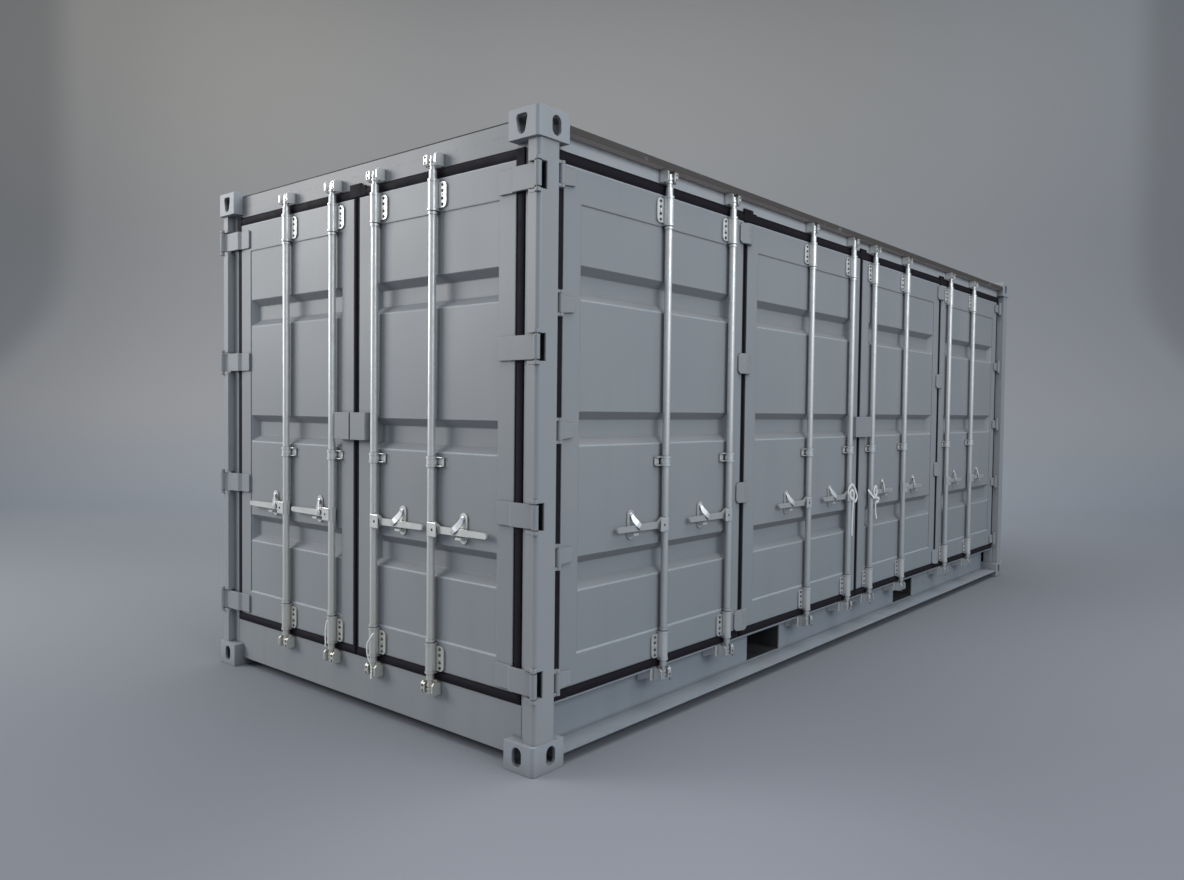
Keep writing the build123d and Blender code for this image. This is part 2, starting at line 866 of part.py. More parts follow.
rail_half = length / 2 - fitting_length
flange_inner = rail_web_recess + plate
side_header_section = [
    (frame_recess + side_header_depth, side_header_bottom),
    (frame_recess, side_header_bottom),
    (frame_recess, lip_bottom),
    (lip_recess, lip_bottom),
    (lip_recess, lip_top),
    (frame_recess, roof_level),
    (frame_recess + side_header_depth, roof_level),
]
save(folded_rail(side_header_section, rail_half, 6), "side_header")
# Each long sill is an upper and a lower angle, joined by web plates between the fork pockets
upper_section = [
    (rail_lip_recess, sill_top),
    (flange_inner, sill_top),
    (flange_inner, fork_top),
]
lower_section = [
    (flange_inner, fork_bottom),
    (flange_inner, rail_flange_bottom),
    (lip_recess, rail_flange_bottom),
]
with BuildPart() as side_sill:
    add(folded_rail(upper_section, rail_half, plate))
    add(folded_rail(lower_section, rail_half, plate))
save(side_sill.part, "side_sill")


def web_plates(face, recess):
    with BuildPart() as webs:
        with BuildSketch(face.offset(-recess)):
            with Locations((0, fork_bottom)):
                Rectangle(2 * rail_half, fork_top - fork_bottom, align=(Align.CENTER, Align.MIN))
            with GridLocations(fork_spacing, 0, 2, 1):
                with Locations((0, fork_bottom)):
                    Rectangle(
                        fork_opening,
                        fork_top - fork_bottom,
                        align=(Align.CENTER, Align.MIN),
                        mode=Mode.SUBTRACT,
                    )
        extrude(amount=-plate)
    return webs.part


with BuildPart() as sill_webs:
    add(web_plates(side_face, rail_web_recess))
    add(web_plates(back_face, post_side_recess))
save(sill_webs.part, "sill_webs")

with BuildPart() as back_rail:
    with Locations((0, width / 2 - post_side_recess - back_rail_size / 2, roof_level - back_rail_size / 2)):
        Box(2 * rail_half, back_rail_size, back_rail_size)
        Box(2 * rail_half, back_rail_size - 10, back_rail_size - 10, mode=Mode.SUBTRACT)
save(back_rail.part, "back_top_rail")

with BuildPart() as back_sill:
    with BuildSketch(back_face.offset(-post_side_recess)):
        for low, high in ((rail_flange_bottom, fork_bottom), (fork_top, back_sill_top)):
            with Locations((0, (low + high) / 2)):
                Rectangle(2 * rail_half, high - low)
    extrude(amount=-plate)
    with BuildSketch(back_face.offset(-post_side_recess - plate)):
        for level in (rail_flange_bottom + plate / 2, back_sill_top - plate / 2):
            with Locations((0, level)):
                Rectangle(2 * rail_half, plate)
    extrude(amount=-back_rail_size)
save(back_sill.part, "back_sill")

cladding_run = 2 * rail_half
wall_tall = roof_level - back_rail_size - back_sill_top
back_base = Plane(
    origin=(0, width / 2 - wall_crest_recess, back_sill_top), x_dir=(-1, 0, 0), z_dir=(0, 0, 1)
)
save(corrugated(back_base, cladding_run, side_wall_depth, side_wall_pitch, wall_tall), "back_wall")
blind_base = Plane(
    origin=(length / 2 - post_front_recess - sheet, 0, blind_sill_top), x_dir=(0, 1, 0), z_dir=(0, 0, 1)
)
blind_tall = header_bottom - blind_sill_top
save(corrugated(blind_base, 2 * doorway_half, end_wall_depth, end_wall_pitch, blind_tall), "blind_end_wall")

# Roof and floor
roof_start = -length / 2 + frame_recess + beam_depth
roof_stop = length / 2 - post_front_recess - beam_depth
roof_side_low = back_rail_size + post_side_recess
roof_side_high = frame_recess + side_header_depth
roof_wide = width - roof_side_low - roof_side_high
roof_base = Plane(
    origin=(0, width / 2 - roof_side_low, roof_level), x_dir=(1, 0, 0), z_dir=(0, -1, 0)
)
with BuildPart() as roof:
    flat = roof_pitch * flat_share
    count = int((2 * rail_half - flat) // roof_pitch)
    margin = (2 * rail_half - count * roof_pitch - flat) / 2
    slope = (roof_pitch - 2 * flat) / 2
    top_line = [(roof_start, 0)]
    for number in range(count):
        start = -rail_half + margin + flat + number * roof_pitch
        top_line += [(start, 0), (start + slope, -roof_depth)]
        top_line += [(start + slope + flat, -roof_depth), (start + 2 * slope + flat, 0)]
    top_line += [(roof_stop, 0)]
    under_line = [(x, y - sheet) for x, y in reversed(top_line)]
    with BuildSketch(roof_base):
        with BuildLine():
            Polyline(*top_line, *under_line, close=True)
        make_face()
    extrude(amount=roof_wide)
    with BuildSketch(Plane.XY.offset(roof_level)):
        with GridLocations(length - fitting_length, width - fitting_width, 2, 2):
            Rectangle(fitting_length, fitting_width)
    extrude(amount=-fitting_height, mode=Mode.SUBTRACT)
save(roof.part, "roof")

floor_level = sill_top
floor_near = rail_web_recess + plate
floor_end = frame_recess + beam_depth
floor_blind = post_front_recess + beam_depth
floor_far = post_side_recess + wall_crest_recess + side_wall_depth + sheet
with BuildPart() as floor:
    floor_length = length - floor_end - floor_blind
    floor_width = width - floor_near - floor_far
    floor_middle = ((floor_end - floor_blind) / 2, (floor_near - floor_far) / 2)
    with Locations((*floor_middle, floor_level - floor_board / 2)):
        Box(floor_length, floor_width, floor_board)
    for end in (-1, 1):
        corner_x = end * (length - fitting_length) / 2
        corner_y = (width - post_end_width) / 2
        with Locations((corner_x, corner_y, floor_level - floor_board / 2)):
            Box(fitting_length, post_end_width, floor_board, mode=Mode.SUBTRACT)
save(floor.part, "floor")

bearer_top = floor_level - floor_board
bearer_run = width - floor_near - back_rail_size - post_side_recess - plate
bearer_middle = (floor_near - back_rail_size - post_side_recess - plate) / 2
bearer_start = Plane(
    origin=(0, bearer_middle + bearer_run / 2, 0), x_dir=(1, 0, 0), z_dir=(0, -1, 0)
)
fork_clear = fork_opening / 2 + fork_wall + bearer_flange
bearer_places = [
    -length / 2 + floor_end + bearer_pitch / 2 + number * bearer_pitch
    for number in range(int((length - floor_end - floor_blind) // bearer_pitch))
]
with BuildPart() as bearers:
    for x in bearer_places:
        if abs(abs(x) - fork_spacing / 2) > fork_clear:
            with BuildSketch(bearer_start):
                with Locations((x, bearer_top - bearer_height / 2)):
                    Rectangle(bearer_flange, bearer_height)
                with Locations((x + bearer_plate, bearer_top - bearer_height / 2)):
                    Rectangle(bearer_flange, bearer_height - 2 * bearer_plate, mode=Mode.SUBTRACT)
            extrude(amount=bearer_run)
    with BuildSketch(bearer_start):
        with GridLocations(fork_spacing, 0, 2, 1):
            with GridLocations(fork_opening + fork_wall, 0, 2, 1):
                with Locations((0, fork_bottom)):
                    Rectangle(fork_wall, fork_top - fork_bottom, align=(Align.CENTER, Align.MIN))
    extrude(amount=bearer_run)
save(bearers.part, "floor_bearers")

with BuildPart() as tunnels:
    with BuildSketch(bearer_start):
        with GridLocations(fork_spacing, 0, 2, 1):
            for level in (fork_bottom - fork_wall, fork_top):
                with Locations((0, level)):
                    Rectangle(fork_opening + 2 * fork_wall, fork_wall, align=(Align.CENTER, Align.MIN))
    extrude(amount=bearer_run)
save(tunnels.part, "fork_pockets")

# Side leaves, in two folding pairs
leaf_edges = (
    (-leaf_outer, -side_fold_offset - half_gap),
    (-side_fold_offset + half_gap, -half_gap),
    (half_gap, side_fold_offset - half_gap),
    (side_fold_offset + half_gap, leaf_outer),
)
seal_reach = half_gap - 4
outer_reach = side_doorway_half - leaf_outer - seal_clearance
low_reach = leaf_bottom - sill_top - seal_clearance
side_high_reach = side_header_bottom - leaf_top - seal_clearance
with BuildPart() as side_seals:
    for number, (left, right) in enumerate(leaf_edges):
        save(make_leaf(side_face, left, right, side_stile, side_trough_levels), f"side_leaf_{number + 1}")
        reach_left = outer_reach if number == 0 else seal_reach
        reach_right = outer_reach if number == 3 else seal_reach
        add(make_seal(side_face, left, right, reach_left, reach_right, low_reach, side_high_reach))
save(side_seals.part, "side_seals")
save(make_post_hinges(), "side_post_hinges")
save(make_fold_hinges(), "side_fold_hinges")

# End doors
end_high_reach = header_bottom - leaf_top - seal_clearance
for name, side in (("door_far", 1), ("door_near", -1)):
    left = -door_outer if side > 0 else half_gap
    right = -half_gap if side > 0 else door_outer
    save(make_leaf(end_face, left, right, stile, end_trough_levels), name)
    reach_left = seal_gap - seal_clearance if side > 0 else seal_reach
    reach_right = seal_reach if side > 0 else seal_gap - seal_clearance
    save(make_seal(end_face, left, right, reach_left, reach_right, low_reach, end_high_reach), f"{name}_seal")
    save(make_end_blades(side), f"{name}_hinges")
    places = [place for place in end_bar_places if place * side < 0]
    save(make_bearings(end_face, places, 1), f"{name}_bearings")
    hand = -side
    reach = catch_offset_left if side > 0 else catch_offset_right
    save(make_catches(end_face, places, (hand, hand), (reach, reach)), f"{name}_catches")

# Lock gear
side_hands = [-1 if place < 0 else 1 for place in side_bar_places]
end_hands = [-1 if place < 0 else 1 for place in end_bar_places]
save(make_bearings(side_face, side_bar_places, -1), "side_bearings")
save(make_catches(side_face, side_bar_places, side_hands, [catch_offset_side] * 8), "side_catches")
for number, (place, hand) in enumerate(zip(end_bar_places, end_hands)):
    save(make_bar(end_face, place, hand), f"end_bar_{number + 1}")
for number, (place, hand) in enumerate(zip(side_bar_places, side_hands)):
    save(make_bar(side_face, place, hand), f"side_bar_{number + 1}")

keeper_rise = keeper_margin + keeper_height / 2
low_keeper = sill_top - keeper_rise
with BuildPart() as end_keepers:
    for place, hand in zip(end_bar_places, end_hands):
        for level in (header_bottom + keeper_rise, low_keeper):
            add(make_keeper(end_face, place, hand, level, frame_recess))
save(end_keepers.part, "end_keepers")

with BuildPart() as side_keepers:
    gusset_top = sill_top - plate
    for place, hand in zip(side_bar_places, side_hands):
        add(make_keeper(side_face, place, hand, side_header_bottom + keeper_rise, frame_recess))
        add(make_keeper(side_face, place, hand, low_keeper, rail_lip_recess))
        gusset_side = Plane(
            origin=(place - gusset_offset, -width / 2, 0), x_dir=(0, 1, 0), z_dir=(1, 0, 0)
        )
        with BuildSketch(gusset_side):
            with BuildLine():
                Polyline(
                    (rail_lip_recess, gusset_top),
                    (rail_web_recess, gusset_top),
                    (rail_web_recess, gusset_top - gusset_height),
                    (rail_lip_recess, gusset_top - gusset_height / 2),
                    close=True,
                )
            make_face()
        extrude(amount=gusset_thickness)
        brace_width = gusset_offset - keeper_half
        with BuildSketch(side_face.offset(-rail_lip_recess)):
            with Locations((place - keeper_half - brace_width / 2, low_keeper)):
                Rectangle(brace_width, keeper_height)
        extrude(amount=keeper_base)
save(side_keepers.part, "side_keepers")

save(make_lock_box(end_face, lock_box_split / 2, lock_box_width / 2), "end_lock_box")
save(make_lock_box(end_face, -lock_box_width / 2, -lock_box_split / 2), "end_lock_cover")
save(make_lock_box(side_face, -lock_box_width / 2, lock_box_width / 2), "side_lock_box")
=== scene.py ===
import math
import random

import bmesh
import bpy
from mathutils import Matrix, Vector


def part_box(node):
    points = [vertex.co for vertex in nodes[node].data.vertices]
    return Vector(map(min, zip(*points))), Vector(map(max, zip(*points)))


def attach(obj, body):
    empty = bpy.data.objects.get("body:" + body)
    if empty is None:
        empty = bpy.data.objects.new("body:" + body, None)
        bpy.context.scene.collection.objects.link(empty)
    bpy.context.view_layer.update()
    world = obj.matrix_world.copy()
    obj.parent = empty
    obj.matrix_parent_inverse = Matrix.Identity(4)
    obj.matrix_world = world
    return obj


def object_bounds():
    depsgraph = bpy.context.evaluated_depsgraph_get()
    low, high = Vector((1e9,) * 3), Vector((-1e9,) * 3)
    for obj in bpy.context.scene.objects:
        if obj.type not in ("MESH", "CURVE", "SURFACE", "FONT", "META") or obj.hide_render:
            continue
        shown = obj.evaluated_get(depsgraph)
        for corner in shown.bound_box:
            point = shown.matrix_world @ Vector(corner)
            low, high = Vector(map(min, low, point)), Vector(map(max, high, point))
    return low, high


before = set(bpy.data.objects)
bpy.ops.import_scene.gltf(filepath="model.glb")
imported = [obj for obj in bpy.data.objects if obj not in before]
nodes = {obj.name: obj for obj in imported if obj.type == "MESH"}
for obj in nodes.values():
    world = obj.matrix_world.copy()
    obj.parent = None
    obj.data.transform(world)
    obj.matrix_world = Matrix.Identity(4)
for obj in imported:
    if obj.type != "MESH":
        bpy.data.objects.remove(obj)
cad_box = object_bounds()

# Viewpoint: the camera stands near the door-end corner at mid height and looks along the box.
# Its place and turn come from the standard spacing of the corner fittings in the photograph.
photo_width = 1184
focal_pixels = 901.5
sensor_width = 36.0
camera_place = (-5.518, -3.609, 1.430)
camera_data = bpy.data.cameras.new("viewpoint")
camera_data.sensor_width = sensor_width
camera_data.lens = focal_pixels / photo_width * sensor_width
camera_data.clip_end = 200
camera = bpy.data.objects.new("viewpoint", camera_data)
bpy.context.scene.collection.objects.link(camera)
azimuth, pitch, roll = (math.radians(angle) for angle in (-49.74, -1.88, 0.65))
forward = Vector((-math.sin(azimuth) * math.cos(pitch), math.cos(azimuth) * math.cos(pitch), math.sin(pitch)))
level_right = forward.cross(Vector((0, 0, 1))).normalized()
level_up = level_right.cross(forward)
right = math.cos(roll) * level_right + math.sin(roll) * level_up
up = math.cos(roll) * level_up - math.sin(roll) * level_right
turned = Matrix((right, up, -forward)).transposed().to_4x4()
camera.matrix_world = Matrix.Translation(camera_place) @ turned
bpy.context.scene.camera = camera
bpy.context.scene.view_settings.view_transform = "Standard"


# Steelwork paint: a two-pack grey sprayed over the welded frame, slightly glossy, a little chalky
# where rain runs, with grey dust low down and thin wear along the folded edges. The folded edges
# are also lightened as a painted highlight, and corners and gaps are darkened as painted shade.
class Wire:
    """A shader socket that can be added, multiplied and so on."""

    def __init__(self, tree, socket):
        self.tree = tree
        self.socket = socket

    def feed(self, target):
        self.tree.links.new(self.socket, target)

    def maths(self, operation, *others):
        sockets = dict(enumerate((self, *others)))
        return add_node(self.tree, "ShaderNodeMath", {"operation": operation}, sockets)

    def __add__(self, other):
        return self.maths("ADD", other)

    def __radd__(self, other):
        return self.maths("ADD", other)

    def __sub__(self, other):
        return self.maths("SUBTRACT", other)

    def __rsub__(self, other):
        return add_node(self.tree, "ShaderNodeMath", {"operation": "SUBTRACT"}, {0: other, 1: self})

    def __mul__(self, other):
        return self.maths("MULTIPLY", other)

    def __rmul__(self, other):
        return self.maths("MULTIPLY", other)

    def clamp(self, low, high):
        """Smooth step: 0 at low and beyond, 1 at high and beyond; low may be the larger."""
        settings = {"clamp": True, "interpolation_type": "SMOOTHSTEP"}
        sockets = {"Value": self, "From Min": low, "From Max": high}
        return add_node(self.tree, "ShaderNodeMapRange", settings, sockets)


def add_node(tree, kind, settings=None, sockets=None, output=0):
    node = tree.nodes.new(kind)
    for key, value in (settings or {}).items():
        setattr(node, key, value)
    for key, value in (sockets or {}).items():
        if isinstance(value, Wire):
            value.feed(node.inputs[key])
        else:
            node.inputs[key].default_value = value
    return Wire(tree, node.outputs[output])


def mix_colour(tree, amount, first, second):
    """Sockets 6 and 7 of the node are the two colours, and output 2 is the mixed one."""
    return add_node(tree, "ShaderNodeMix", {"data_type": "RGBA"}, {0: amount, 6: first, 7: second}, 2)


def finish_material(name, build, **details):
    """build(tree, place, ...) gives the surface's sockets; place is the position in metres."""
    material = bpy.data.materials.new(name)
    material.use_nodes = True
    tree = material.node_tree
    surface = tree.nodes["Principled BSDF"]
    place = add_node(tree, "ShaderNodeTexCoord", output="Object")
    for key, value in build(tree, place, **details).items():
        if isinstance(value, Wire):
            value.feed(surface.inputs[key])
        else:
            surface.inputs[key].default_value = value
    return material


def noise(tree, place, scale, detail=3.0, stretch=(1, 1, 1)):
    if stretch != (1, 1, 1):
        place = add_node(tree, "ShaderNodeMapping", None, {"Vector": place, "Scale": stretch})
    return add_node(tree, "ShaderNodeTexNoise", None, {"Vector": place, "Scale": scale, "Detail": detail})


def axis_of(tree, vector, axis):
    return add_node(tree, "ShaderNodeSeparateXYZ", None, {0: vector}, axis)


def height_of(tree, place):
    return axis_of(tree, place, 2)


def recess(tree, reach):
    """1 deep in corners and gaps narrower than reach, 0 on open faces."""
    air = add_node(tree, "ShaderNodeAmbientOcclusion", {"samples": 6}, {"Distance": reach}, "AO")
    return 1 - air.clamp(0.25, 0.92)


def bends(tree, radius):
    """The normal rounded over bends of this radius, the flat normal, and how alike they are."""
    rounded = add_node(tree, "ShaderNodeBevel", {"samples": 4}, {"Radius": radius})
    flat = add_node(tree, "ShaderNodeNewGeometry", output="Normal")
    pair = {0: rounded, 1: flat}
    alike = add_node(tree, "ShaderNodeVectorMath", {"operation": "DOT_PRODUCT"}, pair, "Value")
    return rounded, flat, alike


def relief(tree, height, strength, distance, normal=None):
    sockets = {"Strength": strength, "Distance": distance, "Height": height}
    if normal:
        sockets["Normal"] = normal
    return add_node(tree, "ShaderNodeBump", None, sockets)


paint_grey = (0.262, 0.278, 0.295, 1)
paint_chalk = (0.315, 0.328, 0.338, 1)
paint_shadow = (0.205, 0.217, 0.228, 1)
dust_grey = (0.205, 0.222, 0.240, 1)
worn_edge_highlight = (0.46, 0.49, 0.52, 1)
painted_gap_shade = (0.075, 0.072, 0.07, 1)


def paint_sockets(tree, place, base=paint_grey, wave=0.35, streaks=0.5, bend=0.004, gap=0.022):
    """wave is how far the sheet buckles, streaks how much rain marks it; bend and gap, the reach of the
    painted shade, are in metres.
    """
    patches = noise(tree, place, 1.7, 4.0).clamp(0.3, 0.7)
    rain = noise(tree, place, 9.0, 5.0, (1, 1, 0.09)).clamp(0.45, 0.8)
    speckle = noise(tree, place, 160.0, 2.0)
    low = 1 - height_of(tree, place).clamp(0.05, 0.75)
    colour = mix_colour(tree, patches * 0.22, base, paint_chalk)
    colour = mix_colour(tree, rain * (0.22 * streaks), colour, paint_shadow)
    colour = mix_colour(tree, low * rain * 0.25, colour, dust_grey)
    rounded, _, alike = bends(tree, bend)
    # Folded edges: thin wear, lightened further as a painted highlight.
    edge = (1 - alike).clamp(0.02, 0.25) * noise(tree, place, 38.0, 4.0).clamp(0.42, 0.62)
    colour = mix_colour(tree, edge * 0.4, colour, worn_edge_highlight)
    # Painted shade: corners and gaps within reach gap are darkened.
    colour = mix_colour(tree, recess(tree, gap) * 0.55, colour, painted_gap_shade)
    peel = noise(tree, place, 420.0, 1.0)
    buckle = noise(tree, place, 2.6, 1.0)
    return {
        "Base Color": colour,
        "Roughness": 0.40 + patches * 0.08 + speckle * 0.05 + low * 0.12,
        "Specular IOR Level": 0.42,
        "Normal": relief(tree, buckle * wave + peel * 0.012, 0.35, 0.01, rounded),
    }


frame_paint = finish_material("frame_paint", paint_sockets)


def dress(node_names, material):
    for name in node_names:
        slots = nodes[name].data.materials
        slots.clear()
        slots.append(material)


dress(("end_sills", "back_top_rail", "back_sill"), frame_paint)
post_grey = (0.295, 0.313, 0.330, 1)
dress(("door_posts", "blind_posts"), finish_material("post_paint", paint_sockets, base=post_grey))
sill_grey = (0.262, 0.290, 0.326, 1)
sill_face = -1.165
sill_rust = (0.10, 0.055, 0.038, 1)
rust_spots = (  # place along the sill, level, reach
    (-1.845, 0.176, 0.020),
    (-2.045, 0.088, 0.016),
    (0.790, 0.170, 0.045),
    (0.780, 0.130, 0.035),
)


def sill_sockets(tree, place):
    sockets = paint_sockets(tree, place, sill_grey)
    ragged = noise(tree, place, 45.0, 4.0)
    for along, level, reach in rust_spots:
        centre = (along, sill_face, level)
        pair = {0: place, 1: centre}
        away = add_node(tree, "ShaderNodeVectorMath", {"operation": "DISTANCE"}, pair, "Value")
        mark = (1 - away.clamp(reach * 0.3, reach)) * ragged.clamp(0.40, 0.62)
        sockets["Base Color"] = mix_colour(tree, mark * 0.75, sockets["Base Color"], sill_rust)
    return sockets


dress(("side_sill", "sill_webs"), finish_material("sill_paint", sill_sockets))
fitting_grey = (0.320, 0.342, 0.372, 1)
# The wide gap reach paints shade deep inside the fittings' holes.
fitting_paint = finish_material("fitting_paint", paint_sockets, base=fitting_grey, wave=0.6, gap=0.13)
dress(("top_corner_fittings", "bottom_corner_fittings"), fitting_paint)


# Underframe: cross bearers and two fork pockets of folded plate, welded between the sills. The
# paint is thin and dirty there, scraped bare and rusted where forks slide in; its near-black
# colours are painted shade for the dark under the box.
def underframe_sockets(tree, place):
    dirt = noise(tree, place, 5.0, 5.0).clamp(0.3, 0.65)
    scrape = noise(tree, place, 30.0, 4.0, (1, 0.1, 1)).clamp(0.55, 0.7)
    # Painted shade: both tones are near black, for the dark under the box.
    colour = mix_colour(tree, dirt, (0.048, 0.050, 0.052, 1), (0.018, 0.017, 0.016, 1))
    colour = mix_colour(tree, scrape * 0.6, colour, (0.055, 0.036, 0.026, 1))
    return {
        "Base Color": colour,
        "Roughness": 0.65 + dirt * 0.2,
        "Normal": relief(tree, dirt, 0.3, 0.004),
    }


dress(("floor_bearers", "fork_pockets"), finish_material("underframe_shade_and_grime", underframe_sockets))

# Headers: folded rails over both door openings. The side one has a drip lip under the roof edge;
# water hangs there, so the lip is crusted with rust and the strip below it is stained. The lip's
# underside is painted a lighter rust as painted light, the side header's grey is lightened as
# painted light against the lip's shadow, and the end header's is darkened as painted shade.
rust_brown = (0.045, 0.036, 0.031, 1)
lit_underside_rust = (0.44, 0.375, 0.335, 1)
rim_blend = 0.0008


def header_sockets(tree, place, rim_foot, base):
    sockets = paint_sockets(tree, place, base)
    level = height_of(tree, place)
    stain = level.clamp(2.500, 2.522) * (1 - level.clamp(2.5225, 2.524))
    runs = noise(tree, place, 26.0, 4.0, (1, 1, 0.2)).clamp(0.4, 0.75)
    colour = mix_colour(tree, stain * runs * 0.25, sockets["Base Color"], rust_brown)
    # Painted light: the lip's down-facing underside gets a lighter rust than its face, against its shade.
    facing = add_node(tree, "ShaderNodeNewGeometry", output="Normal")
    under = (axis_of(tree, facing, 2) * -1).clamp(0.3, 0.6)
    rim_rust_lit_under = mix_colour(tree, under, rust_brown, lit_underside_rust)
    rim = level.clamp(rim_foot, rim_foot + rim_blend) * noise(tree, place, 11.0, 3.0).clamp(0.0, 0.36)
    sockets["Base Color"] = mix_colour(tree, rim * 0.96, colour, rim_rust_lit_under)
    sockets["Roughness"] = sockets["Roughness"] + rim * 0.3
    return sockets


# Lit and shaded copies of one grey: the side header's is lightened as painted light against the lip's shadow,
# and the end header's is darkened as painted shade.
side_header_lit_grey = (0.49, 0.505, 0.525, 1)
end_header_shaded_grey = (0.215, 0.228, 0.243, 1)
side_rim_foot, end_rim_foot = 2.5221, 2.567
side_header_lit_paint = finish_material(
    "side_header_lit_paint", header_sockets, rim_foot=side_rim_foot, base=side_header_lit_grey
)
dress(("side_header",), side_header_lit_paint)
end_header_shaded_paint = finish_material(
    "end_header_shaded_paint", header_sockets, rim_foot=end_rim_foot, base=end_header_shaded_grey
)
dress(("end_headers",), end_header_shaded_paint)

# Cladding: thin corrugated sheet on the roof, the blind end and the plain long side, seam
# welded round its edges and sprayed with the same grey.
cladding_paint = finish_material("cladding_paint", paint_sockets, wave=0.5, streaks=0.9)
dress(("back_wall", "blind_end_wall", "roof"), cladding_paint)


# Floor: plywood boards laid along the box on the bearers, varnished, and scuffed since by
# pallets and forks.
def floor_sockets(tree, place):
    wave_sockets = {"Vector": place, "Scale": 9.0, "Distortion": 6.0, "Detail": 4.0}
    grain = add_node(tree, "ShaderNodeTexWave", {"bands_direction": "Y"}, wave_sockets)
    fine = noise(tree, place, 60.0, 4.0, (0.08, 1, 1))
    scuff = noise(tree, place, 3.0, 5.0).clamp(0.5, 0.8)
    colour = mix_colour(tree, grain * 0.5 + fine * 0.4, (0.30, 0.17, 0.085, 1), (0.16, 0.085, 0.045, 1))
    colour = mix_colour(tree, scuff * 0.6, colour, (0.30, 0.25, 0.20, 1))
    return {
        "Base Color": colour,
        "Roughness": 0.5 + scuff * 0.3,
        "Normal": relief(tree, fine, 0.3, 0.002),
    }


dress(("floor",), finish_material("varnished_plywood", floor_sockets))

# Door leaves: pressed sheet in a welded frame. The sheet is thin enough to buckle slightly
# between its troughs. Each trough's up-facing lower slope is darkened as painted shade, its
# down-facing upper slope is painted in shadow, and its up-facing outer bend is lightened as a
# painted highlight.
leaf_grey = (0.272, 0.288, 0.305, 1)
leaf_foot_grey = (0.214, 0.243, 0.270, 1)
painted_slope_shade = (0.165, 0.176, 0.190, 1)
slope_shadow = (0.14, 0.146, 0.152, 1)
painted_bend_highlight = (0.52, 0.56, 0.62, 1)
bend_radius = 0.011


def leaf_sockets(tree, place, axis, trough_floor, leaf_face, foot_tint):
    """axis is the one the leaf faces along; the trough floor and the leaf's face are places on it."""
    sockets = paint_sockets(tree, place, leaf_grey, wave=0.6, streaks=0.6, bend=0.009)
    rounded, flat, alike = bends(tree, bend_radius)
    lean = axis_of(tree, flat, 2)
    bend_lean = axis_of(tree, rounded, 2)
    outer = axis_of(tree, place, axis).clamp(trough_floor, leaf_face)
    droop = lean * -1
    # Painted shade: the trough's up-facing lower slope is darkened.
    up_slope_shade = lean.clamp(0.3, 0.6) * (1 - lean.clamp(0.85, 0.95))
    shaded = droop.clamp(0.3, 0.6) * (1 - droop.clamp(0.85, 0.95))
    # Painted highlight: the up-facing outer bend at each trough's foot is lightened.
    bright = (1 - alike).clamp(0.003, 0.045) * bend_lean.clamp(0.08, 0.34) * outer
    foot = 1 - height_of(tree, place).clamp(0.3, 1.35)
    colour = mix_colour(tree, foot * foot_tint, sockets["Base Color"], leaf_foot_grey)
    colour = mix_colour(tree, up_slope_shade * 0.5, colour, painted_slope_shade)
    colour = mix_colour(tree, shaded * 0.45, colour, slope_shadow)
    sockets["Base Color"] = mix_colour(tree, bright * 0.85, colour, painted_bend_highlight)
    return sockets


side_leaves = ("side_leaf_1", "side_leaf_2", "side_leaf_3", "side_leaf_4")
side_leaf_paint = finish_material(
    "side_leaf_paint", leaf_sockets, axis=1, trough_floor=-1.150, leaf_face=-1.166, foot_tint=0.5
)
dress(side_leaves, side_leaf_paint)
end_leaf_paint = finish_material(
    "end_leaf_paint", leaf_sockets, axis=0, trough_floor=-2.960, leaf_face=-2.976, foot_tint=0.1
)
dress(("door_far", "door_near"), end_leaf_paint)

# Hinges and lock boxes: blades cut from thick plate and cranked, and welded boxes of bent
# sheet, sprayed together with the leaves.
fitted_paint = finish_material("fitted_paint", paint_sockets, base=leaf_grey)
dress(("door_far_hinges", "door_near_hinges", "side_post_hinges", "side_fold_hinges"), fitted_paint)
dress(("side_lock_box", "end_lock_box", "end_lock_cover"), fitted_paint)


# Seals: black extruded rubber clamped in the gaps round the leaves, finely ribbed, dull and
# faintly dusty.
def rubber_sockets(tree, place):
    dust = noise(tree, place, 14.0, 4.0).clamp(0.35, 0.8)
    colour = mix_colour(tree, dust * 0.3, (0.010, 0.0085, 0.013, 1), (0.030, 0.026, 0.032, 1))
    return {
        "Base Color": colour,
        "Roughness": 0.68 + dust * 0.2,
        "Specular IOR Level": 0.16,
        "Normal": relief(tree, noise(tree, place, 90.0), 0.2, 0.002),
    }


seal_rubber = finish_material("seal_rubber", rubber_sockets)
dress(("side_seals", "door_far_seal", "door_near_seal"), seal_rubber)


# Lock gear: hot-dip galvanised steel, bright where it was drawn and mottled where the zinc crystals
# show, a little yellow with age low down on the end doors. Crevices are darkened as painted shade;
# the side bars are painted darker low down as painted shade, leaving their tops bright as a painted
# highlight, and the side gear gets a lighter copy of the same zinc.
painted_crevice_shade = (0.07, 0.065, 0.06, 1)


